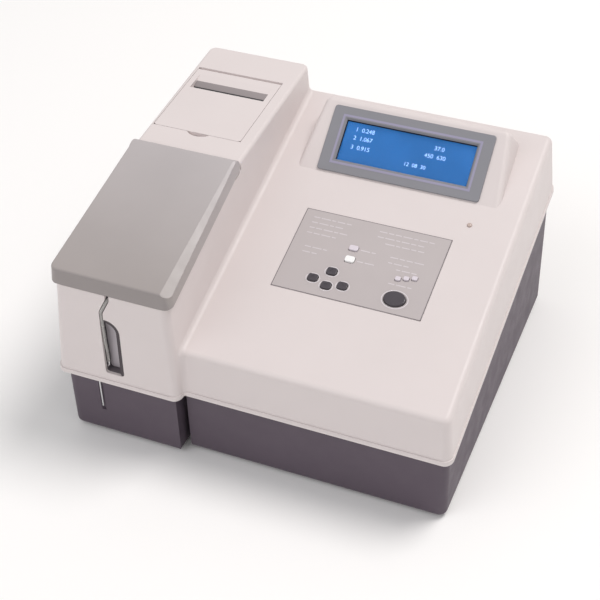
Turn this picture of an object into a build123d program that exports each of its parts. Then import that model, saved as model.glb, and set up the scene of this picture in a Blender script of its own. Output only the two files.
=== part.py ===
from build123d import *
import os
from math import acos, atan, cos, degrees, hypot, pi, radians, sin, tan

# Immunoassay analyzer: a desktop instrument that draws up a sample, reads it in a flow cell
# and prints the result. X runs to the right, Y to the rear and Z up. The origin is on the
# bench, at the middle of the footprint.

# Driving dimensions of the casing, in millimetres
overall_width = 390.0
overall_depth = 356.0
left_x = -overall_width / 2
right_x = overall_width / 2
front_y = -overall_depth / 2
rear_y = overall_depth / 2
above_z = 320.0
wall = 3.0
clearance = 0.3
foot_height = 3.0
foot_diameter = 18.0
seam_front_z = 74.0
seam_slope = 0.204
deck_front_z = 126.4
deck_front_y = front_y + 18.3
deck_slope = 0.255
side_draft = 0.0875
front_draft = 0.035
soft_radius = 6.0
corner_radius = 8.0
blend_radius = 6.0
block_lap = 12.0
zone_lap = 20.0
sill = 5.0
lip_height = 4.5
lip_proud = 1.0
module_step = 9.4
module_width = 126.5
module_right_x = left_x + module_width
module_right_draft = 0.05
base_inset = 3.5
base_inset_left = 6.5
groove_width = 6.5
groove_depth = 15.0
base_edge_radius = 5.0

# Lid over the sample bay
lid_front_z = 196.9
lid_slope = 0.244
lid_height = 16.8
lid_wall = 2.6
lid_rear_y = -4.2
lid_hinge_radius = 9.0
lid_hinge_pin = 4.0
lid_gap = 0.6
lid_seat_gap = 0.4
lid_edge_radius = 2.5
lid_chamfer_front = 9.0
lid_chamfer_rear = 4.0
lid_chamfer_drop = 4.5
lid_flare_left = 5.5
lid_flare_right = 4.5
hinge_inset = 29.0
hinge_places = [left_x + hinge_inset + 1.0, module_right_x - hinge_inset + 0.5]
ear_width = 10.0
ear_radius = 6.0
lid_rib_places = [front_y + 48.0, front_y + 98.0]
lid_rib_height = 6.0
hinge_pin_reach = 11.0

# Rear of the left module and the printer under its flap
printer_drop = 8.3
printer_top_z = lid_front_z + lid_slope * (lid_rear_y - front_y) - printer_drop
printer_top_slope = 0.05
flap_left_x = left_x + 14.0
flap_right_x = module_right_x - 18.5
flap_front_y = 26.0
flap_rear_y = 132.0
flap_thickness = 4.0
flap_hinge_pin = 3.0
flap_gap = 0.5
printer_rim_radius = 4.0
ledge_width = 3.5
ledge_depth = 10.5
paper_width = 57.0
paper_middle_x = (flap_left_x + flap_right_x) / 2 + 8.5
roll_axis_y = flap_front_y + 36.0
paper_roll_diameter = 44.0
paper_core_diameter = 16.0
spindle_diameter = 10.0
platen_diameter = 12.0
notch_width = 27.0
tub_floor_z = printer_top_z - 51.0
tub_wall = 2.0
roll_z = printer_top_z - 27.0
journal = 5.0
platen_y = flap_front_y + 78.0
platen_z = printer_top_z - 9.5
platen_shaft = 4.0
cheek_x = paper_middle_x - 32.0
slot_y = platen_y - 7.0
well_rear_y = flap_rear_y - 12.0
recess_span = (flap_left_x + 6.0, flap_right_x - 6.0)
gear_module = 0.5
gear_x = cheek_x - 4.5
gear_width = 3.0
platen_teeth = 24
pinion_teeth = 12
motor_shaft = 2.0
pinion_z = platen_z - gear_module * (platen_teeth + pinion_teeth) / 2 - 0.05

# Screen on its raised, tilted pod
screen_middle_x = (module_right_x + right_x) / 2 - 4.75
screen_front_y = rear_y - 107.5
screen_lift = 2.5
screen_front_z = deck_front_z + deck_slope * (screen_front_y - deck_front_y) + screen_lift
screen_slope = 0.731
bezel_width = 169.0
bezel_height = 70.5
bezel_proud = 2.0
window_width = 136.6
window_height = 43.4
window_lap = 5.0
window_thickness = 2.0
lcd_size = (156.0, 64.0)
lcd_thickness = 8.0
pod_margin = 12.0
pod_rise = 8.5
pod_side_draft = 0.2
pod_back_slope = 1.2

# Keypad on the deck
keypad_middle_x = screen_middle_x - 0.1
keypad_middle_y = -24.6
keypad_width = 148.6
keypad_height = 97.9
keypad_thickness = 1.6
keypad_proud = 0.4
key_gap = 0.35
key_travel = 1.0
key_height = 1.8
key_flange = 1.5
key_lip = 0.7
switch_button = 2.2
board_depth = 10.4
keypad_ledge = 7.0
keypad_post_x = keypad_width / 2 - 4.0
keypad_post_y = keypad_height / 2 - 4.0
keypad_left_x = keypad_middle_x - keypad_width / 2
keypad_right_x = keypad_middle_x + keypad_width / 2
keypad_low_y = keypad_middle_y - keypad_height / 2 / hypot(1, deck_slope)
arrow_size = (10.0, 8.0, "round")
small_size = (5.4, 4.6, "round")
keys = [("key_left", keypad_left_x + 35.8, keypad_low_y + 18.1, *arrow_size),
        ("key_up", keypad_left_x + 50.7, keypad_low_y + 29.4, *arrow_size),
        ("key_down", keypad_left_x + 51.0, keypad_low_y + 12.9, *arrow_size),
        ("key_right", keypad_left_x + 66.2, keypad_low_y + 16.5, *arrow_size),
        ("start_key", keypad_left_x + 62.2, keypad_low_y + 47.1, 9.5, 7.0, "round"),
        ("clear_key", keypad_left_x + 61.3, keypad_low_y + 60.2, 9.0, 6.0, "round"),
        ("enter_key", keypad_right_x - 30.3, keypad_low_y + 15.7, 21.5, 16.5, "oval"),
        ("menu_key", keypad_right_x - 35.0, keypad_low_y + 38.2, *small_size),
        ("print_key", keypad_right_x - 27.4, keypad_low_y + 40.3, *small_size),
        ("wash_key", keypad_right_x - 19.8, keypad_low_y + 42.5, *small_size)]
arrow_turns = {"key_left": 180, "key_up": 90, "key_down": -90, "key_right": 0}
lamp_x = keypad_right_x + 10.0
lamp_y = screen_front_y - 26.4
lamp_diameter = 5.0

# Sample bay under the lid
bay_left_x = left_x + 17.5
bay_right_x = module_right_x - 12.0
bay_front_y = front_y + 26.0
bay_rear_y = lid_rear_y - 33.8
bay_floor_z = 142.0
bay_flange = 4.0
tray_wall = 2.5

# Aspirator in the module's front: a recess, a paddle, a needle and its tube
recess_width = 19.5
recess_height = 65.0
recess_left_x = left_x + 53.0
recess_right_x = recess_left_x + recess_width
recess_bottom_z = seam_front_z + 13.0
recess_top_z = recess_bottom_z + recess_height
recess_arc = 14.0
recess_corner = 3.0
paddle_thickness = 3.0
paddle_pin = 2.5
needle_x = recess_left_x - 10.5
needle_y = front_y + 3.0
needle_tip_z = 38.0
needle_diameter = 1.8
tube_diameter = 3.0
groove_tube_width = 4.0
needle_bend_z = recess_bottom_z - 3.0
needle_top_x = recess_left_x + 1.8
needle_top_y = front_y + 5.5
needle_top_z = needle_bend_z + 22.0
flute_diameter = 4.8
tube_bore = 1.85
tube_top_x = recess_left_x + 10.5
tube_top_z = lid_front_z - 20.9
tube_left_x = recess_left_x + 2.2
tube_line_y = front_y + 3.9
tube_cross_y = bay_front_y + 9.0
tube_fork_z = tube_top_z - 16.0
groove_cut = 8.0
flange_thickness = 1.2
liner_wall = 2.0
liner_rear_y = front_y + 19.5
trigger_front_y = front_y + 10.0
trigger_gap = 0.5
trigger_hub = 4.8
pin_y = front_y + 14.8
pin_z = recess_top_z - 4.5
pin_left_x = recess_left_x - 1.9
pin_right_x = recess_right_x - 2.1
spring_x = recess_left_x + 10.0
spring_z = recess_bottom_z + 31.0
spring_radius = 2.7
spring_wire = 0.6
spring_turns = 3
switch_x = recess_left_x + 11.0
switch_z = recess_bottom_z + 13.0

# Peristaltic pump in the sample bay
pump_x = left_x + 45.0
pump_y = bay_front_y + 40.0
pump_size = 46.0
pump_height = 20.0
pump_track_radius = 18.0
pump_tube_diameter = 3.2
pump_rollers = 3
pump_roller_diameter = 8.0
pump_shaft = 5.0
pump_motor_diameter = 36.0
pump_motor_length = 32.0
pump_deck_z = bay_floor_z + 4.0
pump_motor_top = bay_floor_z - tray_wall
pump_tube_bore = 1.8
tube_orbit = 16.3
roller_orbit = 10.5
roller_pin = 2.4
rotor_radius = 13.5
drain_y = bay_front_y + 8.0
waste_run_x = left_x + 21.5
waste_run_z = 126.0
tube_bridge_z = bay_floor_z + 24.0

# Optics in line under the sample bay
beam_y = bay_front_y + 34.0
beam_z = 85.0
cell_x = bay_right_x - 18.5
cell_width = 14.0
cell_cap = 28.0
cap_top_z = bay_floor_z + 10.0
nipple_spread = 6.0
wheel_z = 66.0
filter_motor_x = left_x + 70.0
filter_motor_length = 13.0
filter_motor_size = 28.0
lamp_span = (left_x + 15.0, left_x + 43.0)
detector_span = (cell_x + 9.0, cell_x + 22.5)
bench_span = (lamp_span[0] - 3.0, detector_span[1] + 0.5, beam_y - 22.0, beam_y + 22.0)
filter_wheel_x = filter_motor_x - 4.0
filter_wheel_radius = 26.0
filter_circle_radius = 19.0
filter_count = 8
filter_diameter = 9.0
bench_z = 38.0
bench_thickness = 4.0
bench_top_z = bench_z + bench_thickness

# Feet, casing screws and bosses: plan places, and the wall that each boss leans on
foot_inset = 30.0
foot_places = [(left_x + foot_inset, front_y + 28.0), (right_x - foot_inset, front_y + 35.0),
               (left_x + foot_inset, rear_y - 26.0), (right_x - foot_inset, rear_y - 26.0)]
boss_places = [(left_x + 14.0, front_y + 94.0, "x"), (left_x + 14.0, rear_y - 60.0, "x"),
               (right_x - 12.0, front_y + 78.0, "x"), (right_x - 12.0, rear_y - 58.0, "x"),
               (30.0, front_y + 21.0, "y"), (-20.0, rear_y - 11.0, "y")]
boss_diameter = 11.0
boss_height = 18.0
screw_diameter = 4.0
screw_head_diameter = 7.6
screw_head_height = 3.0
screw_reach = 12.0
screw_seat = 8.0
foot_stem = 5.9
floor_z = foot_height + wall
post_diameter = 8.0
board_z = 18.0
board_width = 160.0
board_length = 146.0
board_inset = 6.0
board_middle_x = module_right_x + 18.5 + board_width / 2
board_middle_y = -47.0
board_posts = [(board_middle_x + side * (board_width / 2 - board_inset),
                board_middle_y + end * (board_length / 2 - board_inset))
               for side in (-1, 1) for end in (-1, 1)]
board_parts = [(-10, 7, 28, 28, 3), (32, 7, 20, 14, 3), (32, -23, 20, 14, 3), (60, 27, 10, 40, 9),
               (-66, 47, 12, 30, 9), (10, 61, 40, 9, 9), (-30, -53, 40, 9, 9)]
board_thickness = 1.6
capacitor_places = [(-50, -13), (-50, 1)]
capacitor_height = 18.0
capacitor_diameter = 10.0
supply_width = 85.0
supply_length = 86.0
supply_x1 = right_x - 20.0
supply_x0 = supply_x1 - supply_width
supply_y1 = rear_y - 34.0
supply_y0 = supply_y1 - supply_length
supply_top_z = 48.0

# Rear wall: mains entry, rocker, fan, serial port and waste fitting
entry_x = 140.0
entry_z = 45.0
entry_width = 27.2
entry_height = 19.8
rocker_x = 100.0
rocker_width = 14.0
rocker_height = 20.0
rocker_swing_deg = 8.0
fan_x = 30.0
fan_z = 78.0
fan_size = 60.0
fan_depth = 15.0
fan_bore = 56.0
fan_blades = 7
serial_x = -48.0
waste_x = -120.0
waste_z = 70.0
waste_bore = 4.0
waste_well_depth = 15.0
waste_well_width = 30.0
waste_thread = 8.0
serial_width = 19.4
serial_height = 11.0
slot_pitch = 4.8
slot_width = 2.6
slot_bar = 4.0
fan_hub = 24.0
rear_face_y = rear_y - base_inset
base_inner_y = rear_face_y - wall
waste_face_y = rear_face_y - waste_well_depth
waste_inner_y = waste_face_y - wall
rocker_axis_y = rear_face_y - 3.5


def seam_z(y):
    """Height of the joint line between the base and the cover."""
    return seam_front_z + seam_slope * (y - front_y)


def deck_z(y):
    """Height of the sloped deck."""
    return deck_front_z + deck_slope * (y - deck_front_y)


def printer_z(y):
    """Height of the rear top of the left module."""
    return printer_top_z + printer_top_slope * (y - lid_rear_y)


def lid_z(y):
    """Height of the lid's sloped top."""
    return lid_front_z + lid_slope * (y - front_y)


def outward(point, normal):
    """A boundary plane: a point on it and its outward normal."""
    return Vector(*point), Vector(*normal).normalized()


main_front_y = front_y + module_step
seam = outward((0, 0, seam_z(0)), (0, seam_slope, -1))
deck = outward((0, deck_front_y, deck_front_z), (0, -deck_slope, 1))
left_wall = outward((left_x, 0, seam_z(0)), (-1, -seam_slope * side_draft, side_draft))
right_wall = outward((right_x, 0, seam_z(0)), (1, -seam_slope * side_draft, side_draft))
module_front = outward((0, front_y, seam_front_z), (0, -1, front_draft))
main_front = outward((0, main_front_y, seam_front_z), (0, -1, side_draft))
rear_wall = outward((0, rear_y, seam_z(rear_y)), (0, 1, front_draft))
module_right = outward((module_right_x, 0, deck_front_z), (1, 0, module_right_draft))
lid_top = outward((0, 0, lid_z(0)), (0, -lid_slope, 1))
module_rim = outward((0, 0, lid_z(0) - lid_height), (0, -lid_slope, 1))
printer_top = outward((0, lid_rear_y, printer_top_z), (0, -printer_top_slope, 1))

# The lid's hinge line lies one rounding radius inside its rear top edge
hinge_y = lid_rear_y - lid_hinge_radius
hinge_z = lid_z(hinge_y) - lid_hinge_radius * hypot(1, lid_slope)

# The lid's sides follow the module's at the hinge and stand out beyond them at the front
left_flare = lid_flare_left / (hinge_y - front_y)
right_flare = lid_flare_right / (hinge_y - front_y)
lid_left = outward((left_x - left_flare * hinge_y, 0, seam_z(0)),
                   (-1, left_flare - seam_slope * side_draft, side_draft))
lid_right = outward((module_right_x + right_flare * hinge_y, 0, deck_front_z),
                    (1, right_flare, module_right_draft))

flap_hinge_y = flap_rear_y - flap_thickness
flap_hinge_z = printer_z(flap_hinge_y) - flap_thickness
flap_pin_spans = [(flap_left_x - 4.5, flap_left_x + 6.0), (flap_right_x - 6.0, flap_right_x + 4.0)]

# The screen's own plane: its origin is the middle of the pod's face
screen_tilt = degrees(atan(screen_slope))
screen_middle_y = screen_front_y + cos(radians(screen_tilt)) * bezel_height / 2
screen_middle_z = screen_front_z + sin(radians(screen_tilt)) * bezel_height / 2
screen_normal = Vector(0, -sin(radians(screen_tilt)), cos(radians(screen_tilt)))
screen_face = Vector(screen_middle_x, screen_middle_y, screen_middle_z) - screen_normal * bezel_proud
screen_plane = Plane(origin=screen_face, x_dir=(1, 0, 0), z_dir=screen_normal)
pod_face = (screen_face, screen_normal)

# The deck's own plane at the middle of the keypad
deck_tilt = degrees(atan(deck_slope))
deck_normal = Vector(0, -sin(radians(deck_tilt)), cos(radians(deck_tilt)))


def deck_plane(x, y, lift=0.0):
    """A plane on the deck at a plan position, lifted along the deck's normal."""
    origin = Vector(x, y, deck_z(y)) + deck_normal * lift
    return Plane(origin=origin, x_dir=(1, 0, 0), z_dir=deck_normal)


def trim(solid, boundary, inset=0.0):
    """Keep what lies inside a boundary plane moved inwards by the inset."""
    point, normal = boundary
    cut = Plane(origin=point - normal * inset, z_dir=normal)
    return split(solid, bisect_by=cut, keep=Keep.BOTTOM)


def trimmed_block(boundaries, inset=0.0):
    """The solid inside a list of boundary planes, each moved inwards by the inset."""
    solid = Pos(0, 0, above_z / 2) * Box(2 * overall_width, 2 * overall_depth, 2 * above_z)
    for boundary in boundaries:
        solid = trim(solid, boundary, inset)
    return solid


def on_boundary(edge, boundary):
    """Whether a straight edge lies on a boundary plane."""
    point, normal = boundary
    return all(abs((end - point).dot(normal)) < 0.02 for end in (edge @ 0, edge @ 0.5, edge @ 1))


def edges_between(solid, first, second):
    """The edges of a solid where two boundary planes meet."""
    return [e for e in solid.edges() if on_boundary(e, first) and on_boundary(e, second)]


def top_loop(solid, top, ends=()):
    """The edges around a top face, without those on its plain cut ends."""
    loop = [e for e in solid.edges() if on_boundary(e, top)]
    return [e for e in loop if not any(on_boundary(e, end) for end in ends)]


def moved(boundary, inset):
    """A boundary plane moved inwards."""
    point, normal = boundary
    return point - normal * inset, normal


def flipped(boundary):
    """The same plane, facing the other way."""
    point, normal = boundary
    return point, normal * -1


def facing(axis, value, sign):
    """A boundary plane square to an axis, facing the given way along it."""
    point = [0, 0, 0]
    normal = [0, 0, 0]
    point[axis] = value
    normal[axis] = sign
    return outward(point, normal)


def rounded_block(sides, top, ends, corners, corner, rim, inset=0.0):
    """A block inside its side, top and end planes, with rounded corners and top rim."""
    solid = trimmed_block(sides + [top], inset)
    for end in ends:
        solid = trim(solid, end)
    for first, second in corners:
        edges = edges_between(solid, moved(first, inset), moved(second, inset))
        solid = fillet(edges, max(corner - inset, 0.5))
    if rim:
        edges = top_loop(solid, moved(top, inset), ends)
        solid = fillet(edges, max(rim - inset, 0.5))
    return solid


def open_bottom(inset):
    """The lower end of a block: the joint line, or a little under it for a hollow."""
    return moved(seam, -sill if inset else 0)


def main_block(inset=0.0):
    """The main part of the cover, under the sloped deck."""
    sides = [main_front, right_wall, rear_wall]
    ends = [facing(0, module_right_x - block_lap, -1), open_bottom(inset)]
    corners = [(main_front, right_wall), (rear_wall, right_wall)]
    return rounded_block(sides, deck, ends, corners, corner_radius, soft_radius, inset)


def lid_zone_block(inset=0.0):
    """The front of the left module, up to the rim that the lid closes on."""
    sides = [module_front, left_wall, module_right]
    ends = [facing(1, lid_rear_y + zone_lap, 1), open_bottom(inset)]
    corners = [(module_front, left_wall), (module_front, module_right)]
    return rounded_block(sides, module_rim, ends, corners, corner_radius, 0, inset)


def printer_zone_block(inset=0.0):
    """The rear of the left module, with the level top that holds the printer."""
    sides = [rear_wall, left_wall, module_right]
    ends = [facing(1, hinge_y + lid_hinge_radius + lid_gap + inset, -1), open_bottom(inset)]
    corners = [(rear_wall, left_wall), (rear_wall, module_right)]
    return rounded_block(sides, printer_top, ends, corners, corner_radius, printer_rim_radius, inset)


pod_front_left = screen_middle_x - bezel_width / 2 - pod_margin
pod_front_right = screen_middle_x + bezel_width / 2 + pod_margin
pod_top_y = screen_front_y + bezel_height * cos(radians(screen_tilt)) + pod_rise
pod_top_z = screen_face.Z + screen_slope * (pod_top_y - screen_face.Y)
pod_left = outward((pod_front_left, 0, pod_top_z), (-1, 0, pod_side_draft))
pod_right = outward((pod_front_right, 0, pod_top_z), (1, 0, pod_side_draft))
pod_back = outward((0, pod_top_y, pod_top_z), (0, pod_back_slope, 1))


def pod_block(inset=0.0):
    """The raised pod that tilts the screen towards the user."""
    ends = [flipped(moved(deck, wall + 4))]
    corners = [(pod_back, pod_left), (pod_back, pod_right)]
    return rounded_block([pod_back, pod_left, pod_right], pod_face, ends, corners, corner_radius,
                         soft_radius, inset)


def slab(x0, x1, y0, y1, z0, z1):
    """A box between its limits."""
    middle = ((x0 + x1) / 2, (y0 + y1) / 2, (z0 + z1) / 2)
    return Pos(*middle) * Box(x1 - x0, y1 - y0, z1 - z0)


def plate(x0, x1, y0, y1):
    """A flat rectangle between its limits."""
    return Pos((x0 + x1) / 2, (y0 + y1) / 2) * Rectangle(x1 - x0, y1 - y0)


def rod(start, end, diameter):
    """A round bar between two points."""
    begin = Vector(*start)
    span = Vector(*end) - begin
    return extrude(Plane(origin=begin, z_dir=span) * Circle(diameter / 2), span.length)


def pipe(start, end, outer, inner):
    """A round tube between two points."""
    return rod(start, end, outer) - rod(start, end, inner)


def between(solid, low, high):
    """The part of a solid between two facing boundaries."""
    return trim(trim(solid, low), high)


# Top cover


def cover_outer():
    """The outer form of the whole top cover, with its blends."""
    body = main_block() + lid_zone_block() + printer_zone_block()
    body = fillet(edges_between(body, deck, module_right), blend_radius)
    return body + pod_block()


def cover_inner():
    """The hollow inside the top cover."""
    return main_block(wall) + lid_zone_block(wall) + printer_zone_block(wall) + pod_block(wall)


def cover_lip():
    """The low rim that stands proud along the cover's bottom edge."""
    top = (seam[0] + Vector(0, 0, lip_height), seam[1] * -1)
    left_sides = [moved(b, -lip_proud) for b in (module_front, left_wall, module_right, rear_wall)]
    main_sides = [moved(b, -lip_proud) for b in (main_front, right_wall, rear_wall)]
    left = trimmed_block(left_sides + [top, seam])
    right = trimmed_block(main_sides + [top, seam, facing(0, module_right_x - block_lap, -1)])
    round_corner = corner_radius + lip_proud
    left = fillet(left.edges().filter_by(lambda e: tall_corner(e)), round_corner)
    right = fillet([e for e in right.edges() if tall_corner(e) and (e @ 0.5).X > 0], round_corner)
    return left + right


def tall_corner(edge):
    """Whether an edge stands nearly upright."""
    return abs(edge.tangent_at(0.5).Z) > 0.9


def printer_ledge():
    """The thick ring in the cover's rear top, on which the printer hangs."""
    ring = slab(flap_left_x - ledge_width, flap_right_x + ledge_width, flap_front_y - ledge_width,
                flap_rear_y + ledge_width, 0, above_z)
    return trim(trim(ring, printer_top, 1.0), flipped(moved(printer_top, ledge_depth)))


def flap_pocket():
    """The space that the printer flap and its hinge barrel take in the cover."""
    grow = flap_gap
    pocket = slab(flap_left_x - grow, flap_right_x + grow, flap_front_y - grow, flap_hinge_y,
                  0, above_z)
    pocket = trim(pocket, flipped(moved(printer_top, flap_thickness + clearance)))
    barrel = rod((flap_left_x - grow, flap_hinge_y, flap_hinge_z),
                 (flap_right_x + grow, flap_hinge_y, flap_hinge_z), 2 * (flap_thickness + grow))
    over = slab(flap_left_x - grow, flap_right_x + grow, flap_hinge_y, flap_rear_y + grow,
                flap_hinge_z, above_z)
    return pocket + barrel + over


def finger_notch():
    """A scoop in front of the flap, to get a fingertip under its edge."""
    middle_x = (flap_left_x + flap_right_x) / 2 + 2
    scoop = Pos(middle_x, flap_front_y + 2, printer_z(flap_front_y) + 3) * Sphere(1)
    return scale(Pos(-scoop.center()) * scoop, (notch_width / 2, 8, 9)).moved(
        Location(scoop.center()))


def cover_boss(x, y, side):
    """A screw boss inside the cover, tied to its wall by a web."""
    top = seam_z(y) + boss_height
    boss = rod((x, y, 0), (x, y, top), boss_diameter)
    reach = 2.5 * boss_diameter
    if side == "x":
        step = reach if x > 0 else -reach
        web = slab(min(x, x + step), max(x, x + step), y - 1.5, y + 1.5, 0, top)
    else:
        step = reach if y > 0 else -reach
        web = slab(x - 1.5, x + 1.5, min(y, y + step), max(y, y + step), 0, top)
    pilot = rod((x, y, 0), (x, y, seam_z(y) + screw_reach + 1), screw_diameter + 0.1)
    body = trim(boss + web, seam)
    return body - pilot


def hinge_ear(x):
    """A lug on the cover that carries one lid hinge pin."""
    place = Plane(origin=(x - ear_width / 2, 0, 0), x_dir=(0, 1, 0), z_dir=(1, 0, 0))
    foot = (hinge_y - 13, hinge_z - 17)
    eye = Pos(hinge_y, hinge_z) * Circle(ear_radius)
    stem = make_hull((eye + Pos(*foot) * Circle(ear_radius - 1.5)).edges())
    return extrude(place * stem, ear_width)


def recess_outline(grow=0.0):
    """The outline of the aspirator's recess: straight on the left, swept at the right top."""
    left, right = recess_left_x - grow, recess_right_x + grow
    low, high = recess_bottom_z - grow, recess_top_z + grow
    shape = plate(left, right, low, high)
    shape = fillet(shape.vertices().sort_by(Axis.Y)[2:].sort_by(Axis.X)[-1], recess_arc + grow)
    corners = shape.vertices().group_by(Axis.Y)[0] + shape.vertices().group_by(Axis.Y)[-1].sort_by(Axis.X)[:1]
    return fillet(corners, recess_corner)


front_sketch = Plane(origin=(0, 0, 0), x_dir=(1, 0, 0), z_dir=(0, -1, 0))


def toward_rear(outline, y0, y1):
    """An outline drawn on X and Z, as a solid from one Y to another."""
    return extrude(Pos(0, y1, 0) * (front_sketch * outline), y1 - y0)


def tube_groove():
    """The slot in the module's front that the sample tube bends through."""
    path = FilletPolyline((tube_top_x, lid_front_z), (tube_top_x, tube_top_z), (tube_left_x, tube_fork_z),
                          (tube_left_x, recess_top_z - recess_arc), radius=9)
    return toward_rear(trace(path, groove_tube_width), front_y - groove_cut, front_y + groove_cut)


def needle_route():
    """The needle's line: up in front of the base, then in to the foot of the recess."""
    return FilletPolyline((needle_x, needle_y, needle_tip_z), (needle_x, needle_y, needle_bend_z),
                          (needle_top_x, needle_top_y, needle_bend_z + 9),
                          (needle_top_x, needle_top_y, needle_top_z), radius=4)


def along(path, outer, inner=0.0):
    """A round bar or tube along a path."""
    start = Plane(origin=path @ 0, z_dir=path % 0)
    section = start * Circle(outer / 2)
    if inner:
        section = section - start * Circle(inner / 2)
    return sweep(section, path)


def printer_hole():
    """The opening in the cover's rear top, under the flap."""
    hole = slab(flap_left_x + ledge_width, flap_right_x - ledge_width, flap_front_y + ledge_width,
                flap_hinge_y - flap_thickness - 1.5, 0, above_z)
    return trim(hole, flipped(moved(printer_top, 2 * block_lap + 6)))


keypad_plane = deck_plane(keypad_middle_x, keypad_middle_y)


def keypad_pocket():
    """The shallow pocket for the keypad panel and the opening for its keys."""
    sink = keypad_thickness - keypad_proud
    grow = 2 * clearance
    pocket = Rectangle(keypad_width + grow, keypad_height + grow)
    opening = Rectangle(keypad_width - 2 * keypad_ledge, keypad_height - 2 * keypad_ledge)
    return extrude(keypad_plane.offset(-sink) * pocket, 10) + extrude(
        keypad_plane.offset(-10) * opening, 20)


def lamp_hole():
    """The round hole for the indicator lamp."""
    return extrude(deck_plane(lamp_x, lamp_y, -10) * Circle(lamp_diameter / 2 + 0.1), 20)


def keypad_posts():
    """Four posts under the deck that carry the keypad's board."""
    places = [Pos(sx * keypad_post_x, sy * keypad_post_y) for sx in (-1, 1) for sy in (-1, 1)]
    posts = [keypad_plane.offset(-board_depth) * place * Circle(3.5) for place in places]
    return [extrude(post, board_depth - wall + 0.5) for post in posts]


def make_top_cover():
    """The white upper casing: deck, screen pod and left module in one moulding."""
    outer = cover_outer()
    shell = outer - cover_inner() + (cover_lip() - cover_inner())
    shell = shell + (printer_ledge() & outer)
    for x, y, side in boss_places:
        shell = shell + (cover_boss(x, y, side) & outer)
    for post in keypad_posts():
        shell = shell + post
    bay = slab(bay_left_x - clearance, bay_right_x + clearance, bay_front_y - clearance,
               bay_rear_y + clearance, bay_floor_z - 2 * zone_lap, above_z)
    shell = shell - (bay - printer_zone_block())
    trough = rod((left_x, hinge_y, hinge_z), (module_right_x + 5, hinge_y, hinge_z),
                 2 * (lid_hinge_radius + lid_gap))
    shell = shell - trough
    for x in hinge_places:
        shell = shell + hinge_ear(x)
        shell = shell - rod((x - ear_width, hinge_y, hinge_z), (x + ear_width, hinge_y, hinge_z),
                            lid_hinge_pin + 0.04)
    shell = shell - flap_pocket() - printer_hole() - finger_notch()
    for x0, x1 in flap_pin_spans:
        shell = shell - rod((x0, flap_hinge_y, flap_hinge_z), (x1, flap_hinge_y, flap_hinge_z),
                            flap_hinge_pin + 0.04)
    shell = shell - toward_rear(recess_outline(), front_y - groove_cut, front_y + groove_cut) - tube_groove()
    shell = shell - along(needle_route(), needle_diameter + 0.6)
    opening = Rectangle(window_width + 2 * window_lap + 1, window_height + 2 * window_lap + 1)
    shell = shell - extrude(screen_plane.offset(-20) * opening, 40)
    return shell - keypad_pocket() - lamp_hole()


# Lid


def lid_form(inset=0.0):
    """The lid's outer form, or the hollow under it when inset."""
    sides = [module_front, lid_left, lid_right]
    rear = facing(1, hinge_y - (lid_hinge_radius if inset else 0), 1)
    foot = flipped(moved(module_rim, 10 if inset else -lid_seat_gap))
    corners = [(module_front, lid_left), (module_front, lid_right)]
    return rounded_block(sides, lid_top, [rear, foot], corners, corner_radius, lid_edge_radius, inset)


def lid_barrel():
    """The rounded rear edge of the lid, centred on its hinge."""
    bar = rod((left_x, hinge_y, hinge_z), (module_right_x + 5, hinge_y, hinge_z),
              2 * lid_hinge_radius)
    return trim(between(bar, lid_left, lid_right), flipped(moved(module_rim, -lid_seat_gap)))


def lid_chamfer():
    """The tapering bevel along the lid's right top edge."""
    edge_x = module_right_x - 4
    front = Vector(edge_x + lid_flare_right, front_y, lid_z(front_y))
    inner_front = front - Vector(lid_chamfer_front, 0, 0)
    low_front = front - Vector(0, 0, lid_chamfer_drop)
    inner_rear = Vector(edge_x - lid_chamfer_rear, lid_rear_y, lid_z(lid_rear_y))
    normal = (inner_rear - inner_front).cross(low_front - inner_front)
    if normal.Z < 0:
        normal = normal * -1
    return inner_front, normal.normalized()


def make_lid():
    """The grey lid over the sample bay, with hinge slots and stiffening ribs."""
    lid = trim(lid_form() + lid_barrel(), lid_chamfer())
    hollow = lid_form(lid_wall)
    ribs = [slab(left_x, module_right_x, y - 1, y + 1, 0, above_z) for y in lid_rib_places]
    for rib in ribs:
        hollow = hollow - trim(rib, flipped(moved(lid_top, lid_wall + lid_rib_height)))
    lid = lid - trim(hollow, lid_chamfer(), lid_wall)
    for x in hinge_places:
        half = ear_width / 2 + 0.5
        eye = rod((x - half, hinge_y, hinge_z), (x + half, hinge_y, hinge_z), 2 * ear_radius + 2)
        front = slab(x - half, x + half, hinge_y - lid_hinge_radius - 2, hinge_y, 0, hinge_z + 1.5)
        rear = slab(x - half, x + half, hinge_y - 1, hinge_y + lid_hinge_radius + 1, 0, hinge_z + 5.5)
        lid = lid - eye - front - rear
        lid = lid - rod((x - hinge_pin_reach - 1, hinge_y, hinge_z),
                        (x + hinge_pin_reach + 1, hinge_y, hinge_z), lid_hinge_pin + 0.1)
    return lid


def make_lid_hinge_pins():
    """Two steel pins through the cover's ears."""
    return [rod((x - hinge_pin_reach, hinge_y, hinge_z), (x + hinge_pin_reach, hinge_y, hinge_z),
                lid_hinge_pin) for x in hinge_places]


# Base


def base_outline(inset=0.0):
    """The base's plan: the module's step, the groove beside it and the main body."""
    left = left_x + base_inset_left + inset
    right = right_x - base_inset - inset
    rear = rear_y - base_inset - inset
    groove_left = module_right_x - base_inset
    module_y = front_y + base_inset + inset
    main_y = main_front_y + base_inset + inset
    shape = plate(left, groove_left - inset, module_y, rear)
    shape = shape + plate(groove_left + groove_width + inset, right, main_y, rear)
    shape = shape + plate(left, right, main_y + groove_depth + inset, rear)
    outer = [v for v in shape.vertices() if v.X < left + 1 or v.X > right - 1]
    return fillet(outer, corner_radius - inset)


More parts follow.
